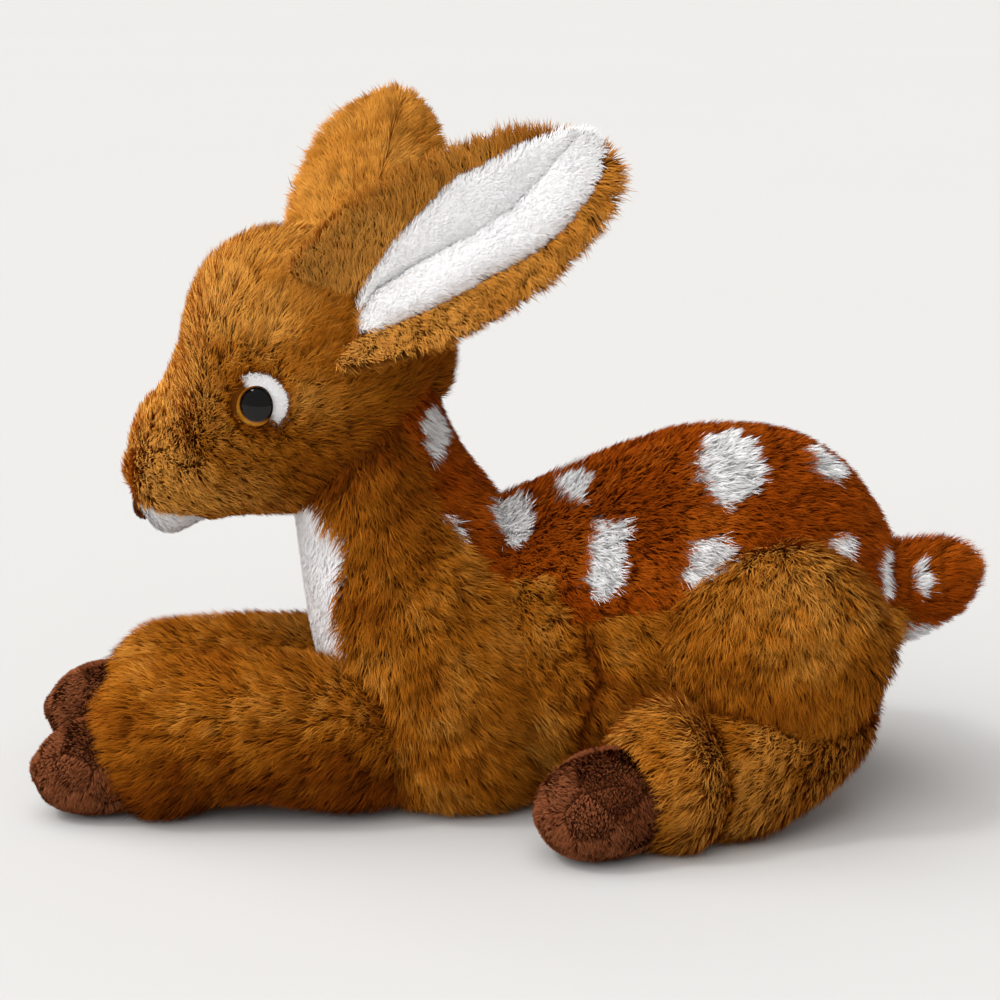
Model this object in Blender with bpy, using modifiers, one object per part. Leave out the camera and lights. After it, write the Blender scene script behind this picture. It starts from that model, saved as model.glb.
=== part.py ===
"""A lying plush fawn: sewn panels over stuffing, with every piece at its real size.

Each soft form is a loft through ribs. A rib joins two opposite points of the
form's outline in its own upright plane and has a half width across it. The
cage through the ribs is smoothed by a Subdivision Surface modifier, and its
control points are solved so that the smooth surface passes through the ribs.
A skin is the form less the same form drawn in by the plush's thickness, and
its stuffing is the form drawn in a little more. Smaller forms are cut by the
larger ones they are sewn to, over the whole travel of the joint between them.

Metres, +Z up. The fawn faces -X and its left side is at -Y. The origin lies
on the floor, in the middle of the flat under the chest.
"""

import math

import bpy
import bmesh
import numpy as np
from mathutils import Matrix, Vector

MM = 0.001

# Cloth, seams and clearances
PLUSH = 3.0 * MM
SEAM = 0.4 * MM
CLEAR = 0.3 * MM
FLAT_DEPTH = 0.5 * MM
WELD = 0.02 * MM
REACH = 400.0 * MM

# Chest and neck: ribs run from the front to the back
CHEST_SIZE = Vector((100.0 * MM, 170.0 * MM, 108.0 * MM))
CHEST_RIB_SHARES = (
    (-0.20, -0.006, 0.24, -0.006, 0.24),
    (-0.37, 0.055, 0.37, 0.055, 0.41),
    (-0.46, 0.16, 0.44, 0.16, 0.48),
    (-0.52, 0.28, 0.45, 0.29, 0.495),
    (-0.565, 0.40, 0.40, 0.42, 0.475),
    (-0.59, 0.52, 0.29, 0.55, 0.43),
    (-0.61, 0.62, 0.15, 0.67, 0.375),
    (-0.615, 0.71, 0.02, 0.79, 0.345),
    (-0.54, 0.83, -0.05, 0.90, 0.30),
    (-0.40, 0.94, -0.09, 0.97, 0.18),
)

# Barrel: ribs run from the back line down to the belly
BODY_LENGTH = 165.0 * MM
BODY_HEIGHT = 138.0 * MM
BARREL_SIZE = Vector((BODY_LENGTH, BODY_HEIGHT, 110.0 * MM))
BARREL_RIB_SHARES = (
    (-0.03, 0.72, -0.03, 0.04, 0.27),
    (0.12, 0.80, 0.12, 0.00, 0.39),
    (0.28, 0.88, 0.28, 0.00, 0.45),
    (0.43, 0.95, 0.43, 0.00, 0.48),
    (0.57, 0.985, 0.56, 0.00, 0.49),
    (0.71, 0.975, 0.69, 0.02, 0.47),
    (0.83, 0.91, 0.80, 0.09, 0.40),
    (0.91, 0.80, 0.88, 0.23, 0.31),
    (0.965, 0.67, 0.945, 0.41, 0.18),
)

# Head: ribs run from the crown down to the jaw, from the nape to the snout
HEAD_SIZE = Vector((120.0 * MM, 100.0 * MM, 88.0 * MM))
HEAD_FOOT = Vector((0.0, 0.0, 104.0 * MM))
HEAD_RIB_SHARES = (
    (-0.08, 0.66, -0.13, 0.42, 0.14),
    (-0.16, 0.86, -0.22, 0.22, 0.34),
    (-0.34, 0.99, -0.37, 0.06, 0.46),
    (-0.54, 1.01, -0.56, 0.01, 0.49),
    (-0.72, 0.89, -0.72, 0.00, 0.45),
    (-0.81, 0.68, -0.81, -0.02, 0.35),
    (-0.89, 0.49, -0.89, -0.02, 0.275),
    (-0.975, 0.35, -0.955, 0.02, 0.21),
    (-1.02, 0.27, -0.995, 0.09, 0.12),
)

# Neck seam: the head nods on a ball of stuffing about its centre
NECK_AT = Vector((-35.0 * MM, 0.0, 138.0 * MM))
NECK_BALL = 27.0 * MM
NECK_PITCH = math.radians(42.0)
NOD_RANGE = (-8.0, 8.0)

# Ears: a gathered leaf, its back of long plush and its lining of short plush
EAR_LENGTH = 118.0 * MM
EAR_WIDTH = 54.0 * MM
EAR_CUP = 13.0 * MM
EAR_PLUSH = 2.4 * MM
LINING_PLUSH = 1.8 * MM
EAR_ROOT = 7.0 * MM
LINING_DEPTH = 6.0 * MM
LINING_WIDTH_SHARE = 0.64
LINING_LENGTH_SHARE = 0.97
EAR_COLUMN_SHARES = (-1.0, -0.5, 0.0, 0.5, 1.0)
EAR_RIB_SHARES = (
    (0.00, 0.34, 0.90),
    (0.14, 0.43, 1.00),
    (0.34, 0.50, 0.85),
    (0.58, 0.49, 0.58),
    (0.80, 0.39, 0.32),
    (0.94, 0.25, 0.14),
    (1.00, 0.12, 0.05),
)
LEFT_EAR_AT = Vector((-41.0 * MM, -29.0 * MM, 187.0 * MM))
RIGHT_EAR_AT = Vector((-40.0 * MM, 27.0 * MM, 190.0 * MM))
LEFT_EAR_AIM = Vector((0.80, -0.33, 0.48))
RIGHT_EAR_AIM = Vector((0.13, 0.84, 0.52))
LEFT_EAR_FACE = Vector((-0.30, -0.93, 0.10))
RIGHT_EAR_FACE = Vector((-0.30, 0.52, -0.78))
EAR_RANGE = (-10.0, 10.0)

# Forelegs: ribs run from the top of the leg down to its underside
FORELEG_SIZE = Vector((118.0 * MM, 56.0 * MM, 46.0 * MM))
FORELEG_AT = Vector((-24.0 * MM, -35.0 * MM, -FLAT_DEPTH))
FORELEG_RIB_SHARES = (
    (0.00, 0.86, 0.00, 0.14, 0.30),
    (-0.18, 0.99, -0.18, 0.05, 0.46),
    (-0.46, 1.02, -0.46, 0.09, 0.50),
    (-0.74, 0.97, -0.76, 0.05, 0.48),
    (-0.91, 0.88, -0.92, 0.02, 0.42),
    (-0.98, 0.72, -0.985, 0.14, 0.28),
)
FORELEG_PIVOT = Vector((-46.0 * MM, -35.0 * MM, 24.0 * MM))
FORELEG_RANGE = (0.0, 12.0)
HOOF_CLOTH = 2.0 * MM

# Fore hooves: short plush cups sewn into the ends of the legs
FOREHOOF_SIZE = Vector((40.0 * MM, 34.0 * MM, 33.0 * MM))
FOREHOOF_AT = Vector((-135.0 * MM, -37.0 * MM, 2.0 * MM))
HOOF_RIB_SHARES = (
    (0.48, 0.74, 0.48, 0.22, 0.26),
    (0.26, 0.96, 0.26, 0.04, 0.45),
    (-0.06, 0.99, -0.06, 0.00, 0.50),
    (-0.35, 0.82, -0.36, 0.10, 0.38),
    (-0.49, 0.60, -0.49, 0.32, 0.17),
)

# Hind legs: a round thigh with the foot folded forward under it
THIGH_SIZE = Vector((79.0 * MM, 66.0 * MM, 50.0 * MM))
THIGH_AT = Vector((112.0 * MM, -46.0 * MM, 38.0 * MM))
THIGH_RIB_SHARES = (
    (-0.48, 0.60, -0.46, 0.36, 0.14),
    (-0.37, 0.83, -0.34, 0.10, 0.36),
    (-0.14, 0.98, -0.10, -0.05, 0.50),
    (0.12, 1.00, 0.16, -0.10, 0.50),
    (0.36, 0.84, 0.38, 0.02, 0.38),
    (0.48, 0.60, 0.48, 0.26, 0.16),
)
FOOT_SIZE = Vector((100.0 * MM, 56.0 * MM, 50.0 * MM))
FOOT_AT = Vector((134.0 * MM, -34.0 * MM, -FLAT_DEPTH))
FOOT_TURN = math.radians(30.0)
FOOT_RIB_SHARES = (
    (0.14, 0.88, 0.12, 0.60, 0.16),
    (0.03, 1.00, 0.02, 0.36, 0.40),
    (-0.18, 1.01, -0.20, 0.15, 0.49),
    (-0.50, 0.94, -0.52, 0.01, 0.50),
    (-0.76, 0.86, -0.78, 0.02, 0.45),
    (-0.88, 0.68, -0.89, 0.18, 0.28),
)
HINDHOOF_SIZE = Vector((49.0 * MM, 37.0 * MM, 40.0 * MM))
HINDHOOF_AT = Vector((52.0 * MM, -80.0 * MM, 1.0 * MM))
HIND_PIVOT = Vector((113.0 * MM, -46.0 * MM, 72.0 * MM))
HIND_RANGE = (0.0, 6.0)

# Tail: a flattened drop, red-brown above and white below
TAIL_SIZE = Vector((47.0 * MM, 31.0 * MM, 32.0 * MM))
TAIL_ROOT_SHARES = (0.88, 0.42)
TAIL_AT = Vector((TAIL_ROOT_SHARES[0] * BODY_LENGTH, 0.0, TAIL_ROOT_SHARES[1] * BODY_HEIGHT))
TAIL_RIB_SHARES = (
    (0.00, 0.60, 0.02, 0.16, 0.20),
    (0.16, 0.84, 0.20, 0.04, 0.38),
    (0.38, 1.00, 0.44, 0.04, 0.48),
    (0.60, 1.06, 0.66, 0.18, 0.46),
    (0.80, 1.06, 0.84, 0.38, 0.34),
    (0.93, 0.96, 0.95, 0.62, 0.16),
)
TAIL_SPLIT_SHARE = 0.30
TAIL_PIVOT_SHARES = (0.15, 0.45)
TAIL_PIVOT = TAIL_AT + Vector((TAIL_PIVOT_SHARES[0] * TAIL_SIZE.x, 0.0, TAIL_PIVOT_SHARES[1] * TAIL_SIZE.y))
TAIL_RANGE = (-8.0, 8.0)

# Eyes: a domed safety eye on a stem, with a washer pressed on inside
EYE_RADIUS = 7.6 * MM
EYE_RISE = 4.4 * MM
EYE_SINK = 0.4 * MM
EYE_AT = Vector((-72.0 * MM, -41.5 * MM, 154.0 * MM))
EYE_AIM = Vector((-0.42, -0.90, 0.09))
STEM_RADIUS = 2.2 * MM
STEM_LENGTH = 13.0 * MM
WASHER_RADIUS = 7.0 * MM
WASHER_THICKNESS = 1.6 * MM
WASHER_DROP = 5.6 * MM
EYE_PATCH_RADIUS = 10.5 * MM
EYE_PATCH_THICKNESS = 1.0 * MM
EYE_PATCH_SHIFT = Vector((3.0 * MM, 0.0, 2.0 * MM))

# Nose and chin
NOSE_SIZE = Vector((9.0 * MM, 17.0 * MM, 11.0 * MM))
NOSE_AT = Vector((-117.0 * MM, 0.0, 109.0 * MM))
CHIN_REAR = -95.0 * MM
CHIN_FRONT = -160.0 * MM
CHIN_TOP = 111.0 * MM
CHIN_FALL = 7.0 * MM

# Seams of the body's panels, seen from the side and from the front
BACK_SEAM_SHARES = (
    (-0.22, 1.40),
    (-0.14, 1.08),
    (-0.06, 0.83),
    (0.07, 0.63),
    (0.20, 0.66),
    (0.24, 0.55),
    (0.44, 0.60),
    (0.62, 0.60),
    (0.80, 0.57),
    (1.10, 0.52),
)
BIB_WIDTH = 66.0 * MM
BIB_SHARES = (
    (0.50, 1.00),
    (0.46, 0.66),
    (0.34, 0.46),
    (0.08, 0.27),
)
BIB_REAR = -40.0 * MM
BELLY_TOP = 6.0 * MM

# Pellet bag: a pouch of plastic pellets that weighs the belly down
PELLET_BAG_SIZE = Vector((96.0 * MM, 30.0 * MM, 56.0 * MM))
PELLET_PLACE = Matrix.Translation((40.0 * MM, 0.0, 0.0))
PELLET_RIB_SHARES = (
    (-0.48, 0.60, -0.48, 0.20, 0.20),
    (-0.36, 0.84, -0.36, 0.02, 0.40),
    (-0.12, 1.00, -0.12, 0.00, 0.50),
    (0.12, 0.98, 0.12, 0.00, 0.50),
    (0.36, 0.86, 0.36, 0.02, 0.40),
    (0.48, 0.60, 0.48, 0.20, 0.20),
)

# Facets
FINE_SIDES = 8
INNER_SIDES = 6
LIMB_SIDES = 6
LIMB_INNER_SIDES = 5
ROUND_STEPS = 16
DOME_STEPS = 4
FLAT_ANGLE = math.radians(2.0)

# Colours, as linear values
TAWNY = (0.42, 0.19, 0.055)
RED_BROWN = (0.20, 0.045, 0.012)
WHITE = (0.84, 0.84, 0.86)
HOOF_BROWN = (0.085, 0.032, 0.02)
AMBER = (0.52, 0.24, 0.03)
STUFFING_WHITE = (0.80, 0.80, 0.78)
POUCH_GREY = (0.55, 0.55, 0.56)
WASHER_WHITE = (0.75, 0.75, 0.75)


def new_collection(name):
    """Adds an empty collection to the scene."""
    collection = bpy.data.collections.new(name)
    bpy.context.scene.collection.children.link(collection)
    return collection


for old in list(bpy.data.objects):
    bpy.data.objects.remove(old)
PARTS = new_collection("plush_fawn")
CUTTERS = new_collection("cutters")


def material(name, colour, roughness):
    """A Principled material of one plain colour."""
    made = bpy.data.materials.new(name)
    made.use_nodes = True
    shader = made.node_tree.nodes["Principled BSDF"]
    shader.inputs["Base Color"].default_value = (*colour, 1.0)
    shader.inputs["Roughness"].default_value = roughness
    shader.inputs["Metallic"].default_value = 0.0
    return made


def guide(name, mesh):
    """Puts a mesh in the cutters' collection, where it isn't part of the model."""
    made = bpy.data.objects.new(name, mesh)
    made.hide_render = True
    made.display_type = "WIRE"
    CUTTERS.objects.link(made)
    return made


def evaluated_mesh(obj):
    """The object's mesh with its modifiers, in world space."""
    graph = bpy.context.evaluated_depsgraph_get()
    mesh = bpy.data.meshes.new_from_object(obj.evaluated_get(graph))
    mesh.transform(obj.matrix_world)
    return mesh


def tidy(mesh):
    """Merges points that a cut left closer than WELD and turns every face into triangles."""
    work = bmesh.new()
    work.from_mesh(mesh)
    bmesh.ops.triangulate(work, faces=work.faces)
    bmesh.ops.remove_doubles(work, verts=work.verts, dist=WELD)
    bmesh.ops.dissolve_degenerate(work, edges=work.edges, dist=WELD)
    bmesh.ops.triangulate(work, faces=work.faces)
    work.to_mesh(mesh)
    work.free()
    return mesh


def plain(mesh):
    """Takes out the points that cuts left on nearly flat stretches, but for the floor flat's own."""
    work = bmesh.new()
    work.from_mesh(mesh)
    verts = [vert for vert in work.verts if vert.co.z > WELD]
    edges = [edge for edge in work.edges if max(vert.co.z for vert in edge.verts) > WELD]
    bmesh.ops.dissolve_limit(work, verts=verts, edges=edges, angle_limit=FLAT_ANGLE)
    bmesh.ops.triangulate(work, faces=work.faces)
    work.to_mesh(mesh)
    work.free()


def boolean(target, cutter, operation):
    """Joins or cuts target with cutter, in place, by an exact Boolean modifier."""
    step = target.modifiers.new(operation.lower(), "BOOLEAN")
    step.operation = operation
    step.solver = "EXACT"
    step.object = cutter
    mesh = evaluated_mesh(target)
    target.modifiers.clear()
    target.data = tidy(mesh)
    return target


def cut(target, *cutters):
    for cutter in cutters:
        boolean(target, cutter, "DIFFERENCE")
    return target


def join(target, *others):
    for other in others:
        boolean(target, other, "UNION")
    return target


def keep(target, region):
    return boolean(target, region, "INTERSECT")


def copy_of(obj, turn=Matrix.Identity(4)):
    """A copy of a guide in world space, moved by the matrix turn."""
    mesh = obj.data.copy()
    mesh.transform(turn)
    return guide(obj.name + "_copy", mesh)


def through_ribs(rows):
    """Control rows whose smooth curve passes through the given rows."""
    count = len(rows)
    weights = np.eye(count)
    for row in range(1, count - 1):
        weights[row, row - 1 : row + 2] = (1 / 6, 4 / 6, 1 / 6)
    return np.linalg.solve(weights, np.array(rows))


def form(name, rib_shares, size, place, sides, grow=0.0):
    """A closed stuffed form through its ribs, drawn out or in by grow along its normals."""
    length, height, width = size
    rows = through_ribs(rib_shares)
    ring_share = 3 / (2 + math.cos(math.tau / sides))
    cage = bmesh.new()
    rings = []
    for top_x, top_z, foot_x, foot_z, half_width in rows:
        top = Vector((top_x * length, 0.0, top_z * height))
        foot = Vector((foot_x * length, 0.0, foot_z * height))
        centre = (top + foot) / 2
        rise = (top - foot) / 2 * ring_share
        across = Vector((0.0, half_width * width * ring_share, 0.0))
        ring = []
        for side in range(sides):
            angle = math.tau * (side + 0.5) / sides
            ring.append(cage.verts.new(centre + rise * math.cos(angle) + across * math.sin(angle)))
        rings.append(ring)
    for ring, after in zip(rings, rings[1:]):
        for side in range(sides):
            far = (side + 1) % sides
            cage.faces.new((ring[side], ring[far], after[far], after[side]))
    cage.faces.new(rings[0][::-1])
    cage.faces.new(rings[-1])
    bmesh.ops.recalc_face_normals(cage, faces=cage.faces)
    mesh = bpy.data.meshes.new(name)
    cage.to_mesh(mesh)
    cage.free()
    obj = guide(name, mesh)
    smooth = obj.modifiers.new("smooth", "SUBSURF")
    smooth.levels = 1
    smooth.render_levels = 1
    if grow:
        shift = obj.modifiers.new("shift", "DISPLACE")
        shift.mid_level = 0.0
        shift.strength = grow
    obj.data = tidy(evaluated_mesh(obj))
    obj.modifiers.clear()
    obj.data.transform(place)
    return obj


def box(name, low, high):
    """A cutter between two corners."""
    bpy.ops.mesh.primitive_cube_add(size=1)
    cube = bpy.context.active_object
    mesh = cube.data.copy()
    bpy.data.objects.remove(cube)
    span = Vector(high) - Vector(low)
    middle = (Vector(high) + Vector(low)) / 2
    mesh.transform(Matrix.Translation(middle) @ Matrix.Diagonal((*span, 1)))
    return guide(name, mesh)


def prism(name, outline, plane):
    """An outline in the side or front plane, drawn out across the whole body."""
    curve = bpy.data.curves.new(name, "CURVE")
    curve.dimensions = "2D"
    curve.fill_mode = "BOTH"
    curve.extrude = REACH
    spline = curve.splines.new("POLY")
    spline.points.add(len(outline) - 1)
    for point, (across, up) in zip(spline.points, outline):
        point.co = (across, up, 0.0, 1.0)
    spline.use_cyclic_u = True
    holder = bpy.data.objects.new(name, curve)
    CUTTERS.objects.link(holder)
    mesh = evaluated_mesh(holder)
    bpy.data.objects.remove(holder)
    turn = Matrix.Rotation(math.pi / 2, 4, "X")
    if plane == "front":
        turn = Matrix.Rotation(math.pi / 2, 4, "Z") @ turn
    mesh.transform(turn)
    flat = bmesh.new()
    flat.from_mesh(mesh)
    bmesh.ops.remove_doubles(flat, verts=flat.verts, dist=CLEAR / 10)
    bmesh.ops.recalc_face_normals(flat, faces=flat.faces)
    flat.to_mesh(mesh)
    flat.free()
    return guide(name, mesh)


def ball(name, centre, radius):
    bpy.ops.mesh.primitive_uv_sphere_add(segments=ROUND_STEPS, ring_count=ROUND_STEPS // 2, radius=radius)
    sphere = bpy.context.active_object
    mesh = sphere.data.copy()
    bpy.data.objects.remove(sphere)
    mesh.transform(Matrix.Translation(centre))
    return guide(name, mesh)


def turned(name, profile, place):
    """A solid turned about its own Z axis; the profile runs down its outer side."""
    line = bmesh.new()
    verts = [line.verts.new((radius, 0.0, height)) for radius, height in profile]
    for start, end in zip(verts, verts[1:]):
        line.edges.new((start, end))
    mesh = bpy.data.meshes.new(name)
    line.to_mesh(mesh)
    line.free()
    obj = guide(name, mesh)
    screw = obj.modifiers.new("turn", "SCREW")
    screw.steps = ROUND_STEPS
    screw.render_steps = ROUND_STEPS
    screw.use_merge_vertices = True
    screw.merge_threshold = CLEAR / 10
    obj.data = evaluated_mesh(obj)
    obj.modifiers.clear()
    obj.data.transform(place)
    return obj


def turn_about(centre, axis, degrees):
    """The matrix of a turn about an axis through a point."""
    there = Matrix.Translation(centre)
    return there @ Matrix.Rotation(math.radians(degrees), 4, axis) @ there.inverted()


def sweep_of(larger, centre, axis, travel):
    """Copies of the larger form as the smaller one sees it over the joint's travel."""
    low, high = travel
    stops = sorted({low, 0.0, high})
    return [copy_of(larger, turn_about(centre, axis, -stop)) for stop in stops]


def mirror_copy(obj):
    """A guide's mirror image in the middle plane."""
    twin = copy_of(obj, Matrix.Diagonal((1, -1, 1, 1)))
    twin.data.flip_normals()
    return twin


def finish(obj, name, look):
    """Makes a shape a named piece of the model."""
    plain(obj.data)
    obj.name = name
    obj.data.name = name
    obj.hide_render = False
    obj.display_type = "TEXTURED"
    for collection in list(obj.users_collection):
        collection.objects.unlink(obj)
    PARTS.objects.link(obj)
    obj.data.materials.clear()
    obj.data.materials.append(look)
    for face in obj.data.polygons:
        face.material_index = 0
    obj.data.shade_smooth()
    obj.data.set_sharp_from_angle(angle=math.radians(40))
    return obj


def hang_from(pivot_name, pivot, pieces):
    """Parents a moving body's pieces, or its own pivots, to an empty on its joint's axis."""
    pivot_empty = bpy.data.objects.new(pivot_name, None)
    pivot_empty.location = pivot
    PARTS.objects.link(pivot_empty)
    for piece in pieces:
        piece.parent = pivot_empty
        piece.matrix_parent_inverse = Matrix.Translation(-pivot)
    return pivot_empty


TAWNY_PLUSH = material("tawny_plush", TAWNY, 0.9)
BACK_PLUSH = material("red_brown_plush", RED_BROWN, 0.9)
WHITE_PLUSH = material("white_plush", WHITE, 0.9)
HOOF_PLUSH = material("dark_brown_short_plush", HOOF_BROWN, 0.95)
EYE_PLASTIC = material("amber_eye_plastic", AMBER, 0.08)
STUFFING = material("polyester_stuffing", STUFFING_WHITE, 1.0)
POUCH = material("pellet_pouch_cloth", POUCH_GREY, 0.8)
WASHER_PLASTIC = material("washer_plastic", WASHER_WHITE, 0.4)

# The floor and the floor flat
FLOOR = box("floor", (-REACH, -REACH, -REACH), (REACH, REACH, 0.0))
SINK = Matrix.Translation((0.0, 0.0, -FLAT_DEPTH))

# Body: the chest and the barrel make one skin


def body_form(name, sides, grow):
    """The chest and the barrel joined, drawn out or in by grow."""
    chest = form(name, CHEST_RIB_SHARES, CHEST_SIZE, SINK, sides, grow)
    return join(chest, form("barrel", BARREL_RIB_SHARES, BARREL_SIZE, SINK, sides, grow))


def above_neck(lift):
    """Everything on the head's side of the neck seam, lifted off it."""
    region = box("above_neck", (-REACH, -REACH, lift), (REACH, REACH, REACH))
    region.data.transform(Matrix.Translation(NECK_AT) @ Matrix.Rotation(-NECK_PITCH, 4, "Y"))
    return region


BODY = body_form("body", FINE_SIDES, 0.0)
BODY_GROWN = body_form("body_grown", FINE_SIDES, CLEAR)
BODY_HOLLOW = body_form("body_hollow", INNER_SIDES, -PLUSH)
BODY_CORE = body_form("body_core", INNER_SIDES, -PLUSH - CLEAR)
SOCKET_RADIUS = (NECK_BALL + CLEAR) / math.cos(math.pi / ROUND_STEPS) ** 2
NECK_SOCKET = ball("neck_socket", NECK_AT, SOCKET_RADIUS)
for part_of_body in (BODY, BODY_CORE):
    cut(part_of_body, FLOOR, above_neck(0.0), NECK_SOCKET)
cut(BODY_GROWN, above_neck(CLEAR))
BODY_SKIN = cut(copy_of(BODY), BODY_HOLLOW)

BACK_LINE = [(x * BODY_LENGTH, z * BODY_HEIGHT) for x, z in BACK_SEAM_SHARES]
BACK_OUTLINE = BACK_LINE + [(BACK_LINE[-1][0], REACH / 2), (BACK_LINE[0][0], REACH / 2)]
BACK_REGION = prism("back_region", BACK_OUTLINE, "side")
BACK_REGION_GROWN = copy_of(BACK_REGION, Matrix.Translation((-SEAM, 0.0, -SEAM)))


def bib_region(name, grow):
    """The strip down the front of the chest, as wide as its seams plus grow."""
    right_side = [(y * BIB_WIDTH + grow, z * BODY_HEIGHT) for y, z in BIB_SHARES]
    right_side[0] = (right_side[0][0], REACH / 2)
    right_side[-1] = (right_side[-1][0], right_side[-1][1] - grow)
    outline = right_side + [(-y, z) for y, z in reversed(right_side)]
    strip = prism(name, outline, "front")
    return keep(strip, box("bib_limit", (-REACH, -REACH, -REACH), (BIB_REAR + grow, REACH, REACH)))


BIB_REGION = bib_region("bib_region", 0.0)
BIB_REGION_GROWN = bib_region("bib_region_grown", SEAM)
BELLY_REGION = box("belly_region", (-REACH, -REACH, -REACH), (REACH, REACH, BELLY_TOP))
BELLY_REGION_GROWN = box("belly_region_grown", (-REACH, -REACH, -REACH), (REACH, REACH, BELLY_TOP + SEAM))

back_panel = finish(keep(copy_of(BODY_SKIN), BACK_REGION), "back_panel", BACK_PLUSH)
bib_panel = finish(keep(copy_of(BODY_SKIN), BIB_REGION), "bib_panel", WHITE_PLUSH)
belly_panel = finish(keep(copy_of(BODY_SKIN), BELLY_REGION), "belly_panel", TAWNY_PLUSH)
FLANKS = cut(BODY_SKIN, BACK_REGION_GROWN, BIB_REGION_GROWN, BELLY_REGION_GROWN)
LEFT_HALF = box("left_half", (-REACH, -REACH, -REACH), (REACH, -SEAM / 2, REACH))


def both_halves(shape, ending):
    """The left half of a shape and its mirror image, as two pieces with a seam between."""
    left_half = keep(shape, LEFT_HALF)
    right_half = mirror_copy(left_half)
    return [
        finish(right_half, "right_" + ending, TAWNY_PLUSH),
        finish(left_half, "left_" + ending, TAWNY_PLUSH),
    ]


both_halves(FLANKS, "flank_panel")

# Body: the stuffing, with the pellet bag let into its underside
PELLETS = form("pellets", PELLET_RIB_SHARES, PELLET_BAG_SIZE, PELLET_PLACE, INNER_SIDES)
PELLET_POCKET = form("pellet_pocket", PELLET_RIB_SHARES, PELLET_BAG_SIZE, PELLET_PLACE, INNER_SIDES, CLEAR)
finish(keep(PELLETS, BODY_CORE), "pellet_bag", POUCH)
finish(cut(copy_of(BODY_CORE), PELLET_POCKET), "body_stuffing", STUFFING)

# Head: cut back to the neck seam, with the ball of its stuffing in the neck
HEAD_PLACE = Matrix.Translation(HEAD_FOOT)
NECK_SWEEP = sweep_of(BODY_GROWN, NECK_AT, "Y", NOD_RANGE)


def head_form(name, sides, grow):
    return form(name, HEAD_RIB_SHARES, HEAD_SIZE, HEAD_PLACE, sides, grow)


HEAD = cut(head_form("head", FINE_SIDES, 0.0), *NECK_SWEEP)
HEAD_GROWN = head_form("head_grown", FINE_SIDES, CLEAR)
HEAD_CORE = cut(head_form("head_core", INNER_SIDES, -PLUSH - CLEAR), *NECK_SWEEP)
join(HEAD_CORE, ball("neck_ball", NECK_AT, NECK_BALL))
HEAD_SKIN = cut(copy_of(HEAD), head_form("head_hollow", INNER_SIDES, -PLUSH), NECK_SOCKET)

# Eyes: a stem through the plush, a washer inside and a white patch behind
DOME_ANGLES = [step * math.tau / 4 / DOME_STEPS for step in range(DOME_STEPS + 1)]
DOME_PROFILE = [(EYE_RADIUS * math.sin(angle), EYE_RISE * math.cos(angle)) for angle in DOME_ANGLES]
EYE_PROFILE = DOME_PROFILE + [
    (EYE_RADIUS, -EYE_SINK),
    (STEM_RADIUS, -EYE_SINK),
    (STEM_RADIUS, -STEM_LENGTH),
    (0.0, -STEM_LENGTH),
]
PATCH_TOP = -EYE_SINK - CLEAR
PATCH_FOOT = PATCH_TOP - EYE_PATCH_THICKNESS


def disc(name, radius, top, foot, place):
    """A solid round plate between two heights on its own Z axis."""
    return turned(name, [(0.0, top), (radius, top), (radius, foot), (0.0, foot)], place)


EYE_PLACE = Matrix.Translation(EYE_AT) @ EYE_AIM.to_track_quat("Z", "Y").to_matrix().to_4x4()
PATCH_PLACE = Matrix.Translation(EYE_PATCH_SHIFT) @ EYE_PLACE
EYE = turned("eye", EYE_PROFILE, EYE_PLACE)
STEM_HOLE = disc("stem_hole", STEM_RADIUS + CLEAR, EYE_RISE, -STEM_LENGTH - CLEAR, EYE_PLACE)
SEAT_TOP = EYE_RISE + EYE_RADIUS
EYE_SEAT = disc("eye_seat", EYE_RADIUS + CLEAR, SEAT_TOP, -EYE_SINK - CLEAR, EYE_PLACE)
PATCH_SEAT = disc("patch_seat", EYE_PATCH_RADIUS + CLEAR, SEAT_TOP, PATCH_FOOT - CLEAR, PATCH_PLACE)
WASHER_WELL = disc("washer_well", WASHER_RADIUS + CLEAR, 0.0, -STEM_LENGTH - CLEAR, EYE_PLACE)
WASHER_SEAT = disc("washer_seat", WASHER_RADIUS + CLEAR, CLEAR - WASHER_DROP, -STEM_LENGTH, EYE_PLACE)
PATCH = cut(disc("patch", EYE_PATCH_RADIUS, PATCH_TOP, PATCH_FOOT, PATCH_PLACE), STEM_HOLE)
WASHER = disc("washer", WASHER_RADIUS, -WASHER_DROP, -WASHER_DROP - WASHER_THICKNESS, EYE_PLACE)
cut(WASHER, STEM_HOLE)
for cutter in (EYE_SEAT, PATCH_SEAT, STEM_HOLE, WASHER_SEAT):
    cut(HEAD_SKIN, cutter, mirror_copy(cutter))
for cutter in (EYE_SEAT, PATCH_SEAT, WASHER_WELL):
    cut(HEAD_CORE, cutter, mirror_copy(cutter))
EYE_PIECES = (
    (EYE, "eye", EYE_PLASTIC),
    (PATCH, "eye_patch", WHITE_PLUSH),
    (WASHER, "eye_washer", WASHER_PLASTIC),
)
head_pieces = []
for shape, ending, look in EYE_PIECES:
    head_pieces.append(finish(mirror_copy(shape), "right_" + ending, look))
    head_pieces.append(finish(shape, "left_" + ending, look))

# Nose, chin and the two sides of the head
NOSE_RISE = NOSE_SIZE.z / 2
NOSE = ball("nose", (0.0, 0.0, 0.0), NOSE_RISE)
NOSE_SHARES = NOSE_SIZE / NOSE_SIZE.z
NOSE.data.transform(Matrix.Translation(NOSE_AT) @ Matrix.Diagonal((*NOSE_SHARES, 1)))
head_pieces.append(finish(cut(NOSE, HEAD_GROWN), "nose", HOOF_PLUSH))


def chin_region(name, grow):
    """The front of the lower jaw, below a line that falls to the rear."""
    outline = (
        (CHIN_FRONT, CHIN_TOP + grow),
        (CHIN_REAR + grow, CHIN_TOP - CHIN_FALL + grow),
        (CHIN_REAR + grow, 0.0),
        (CHIN_FRONT, 0.0),
    )
    return prism(name, outline, "side")


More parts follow.
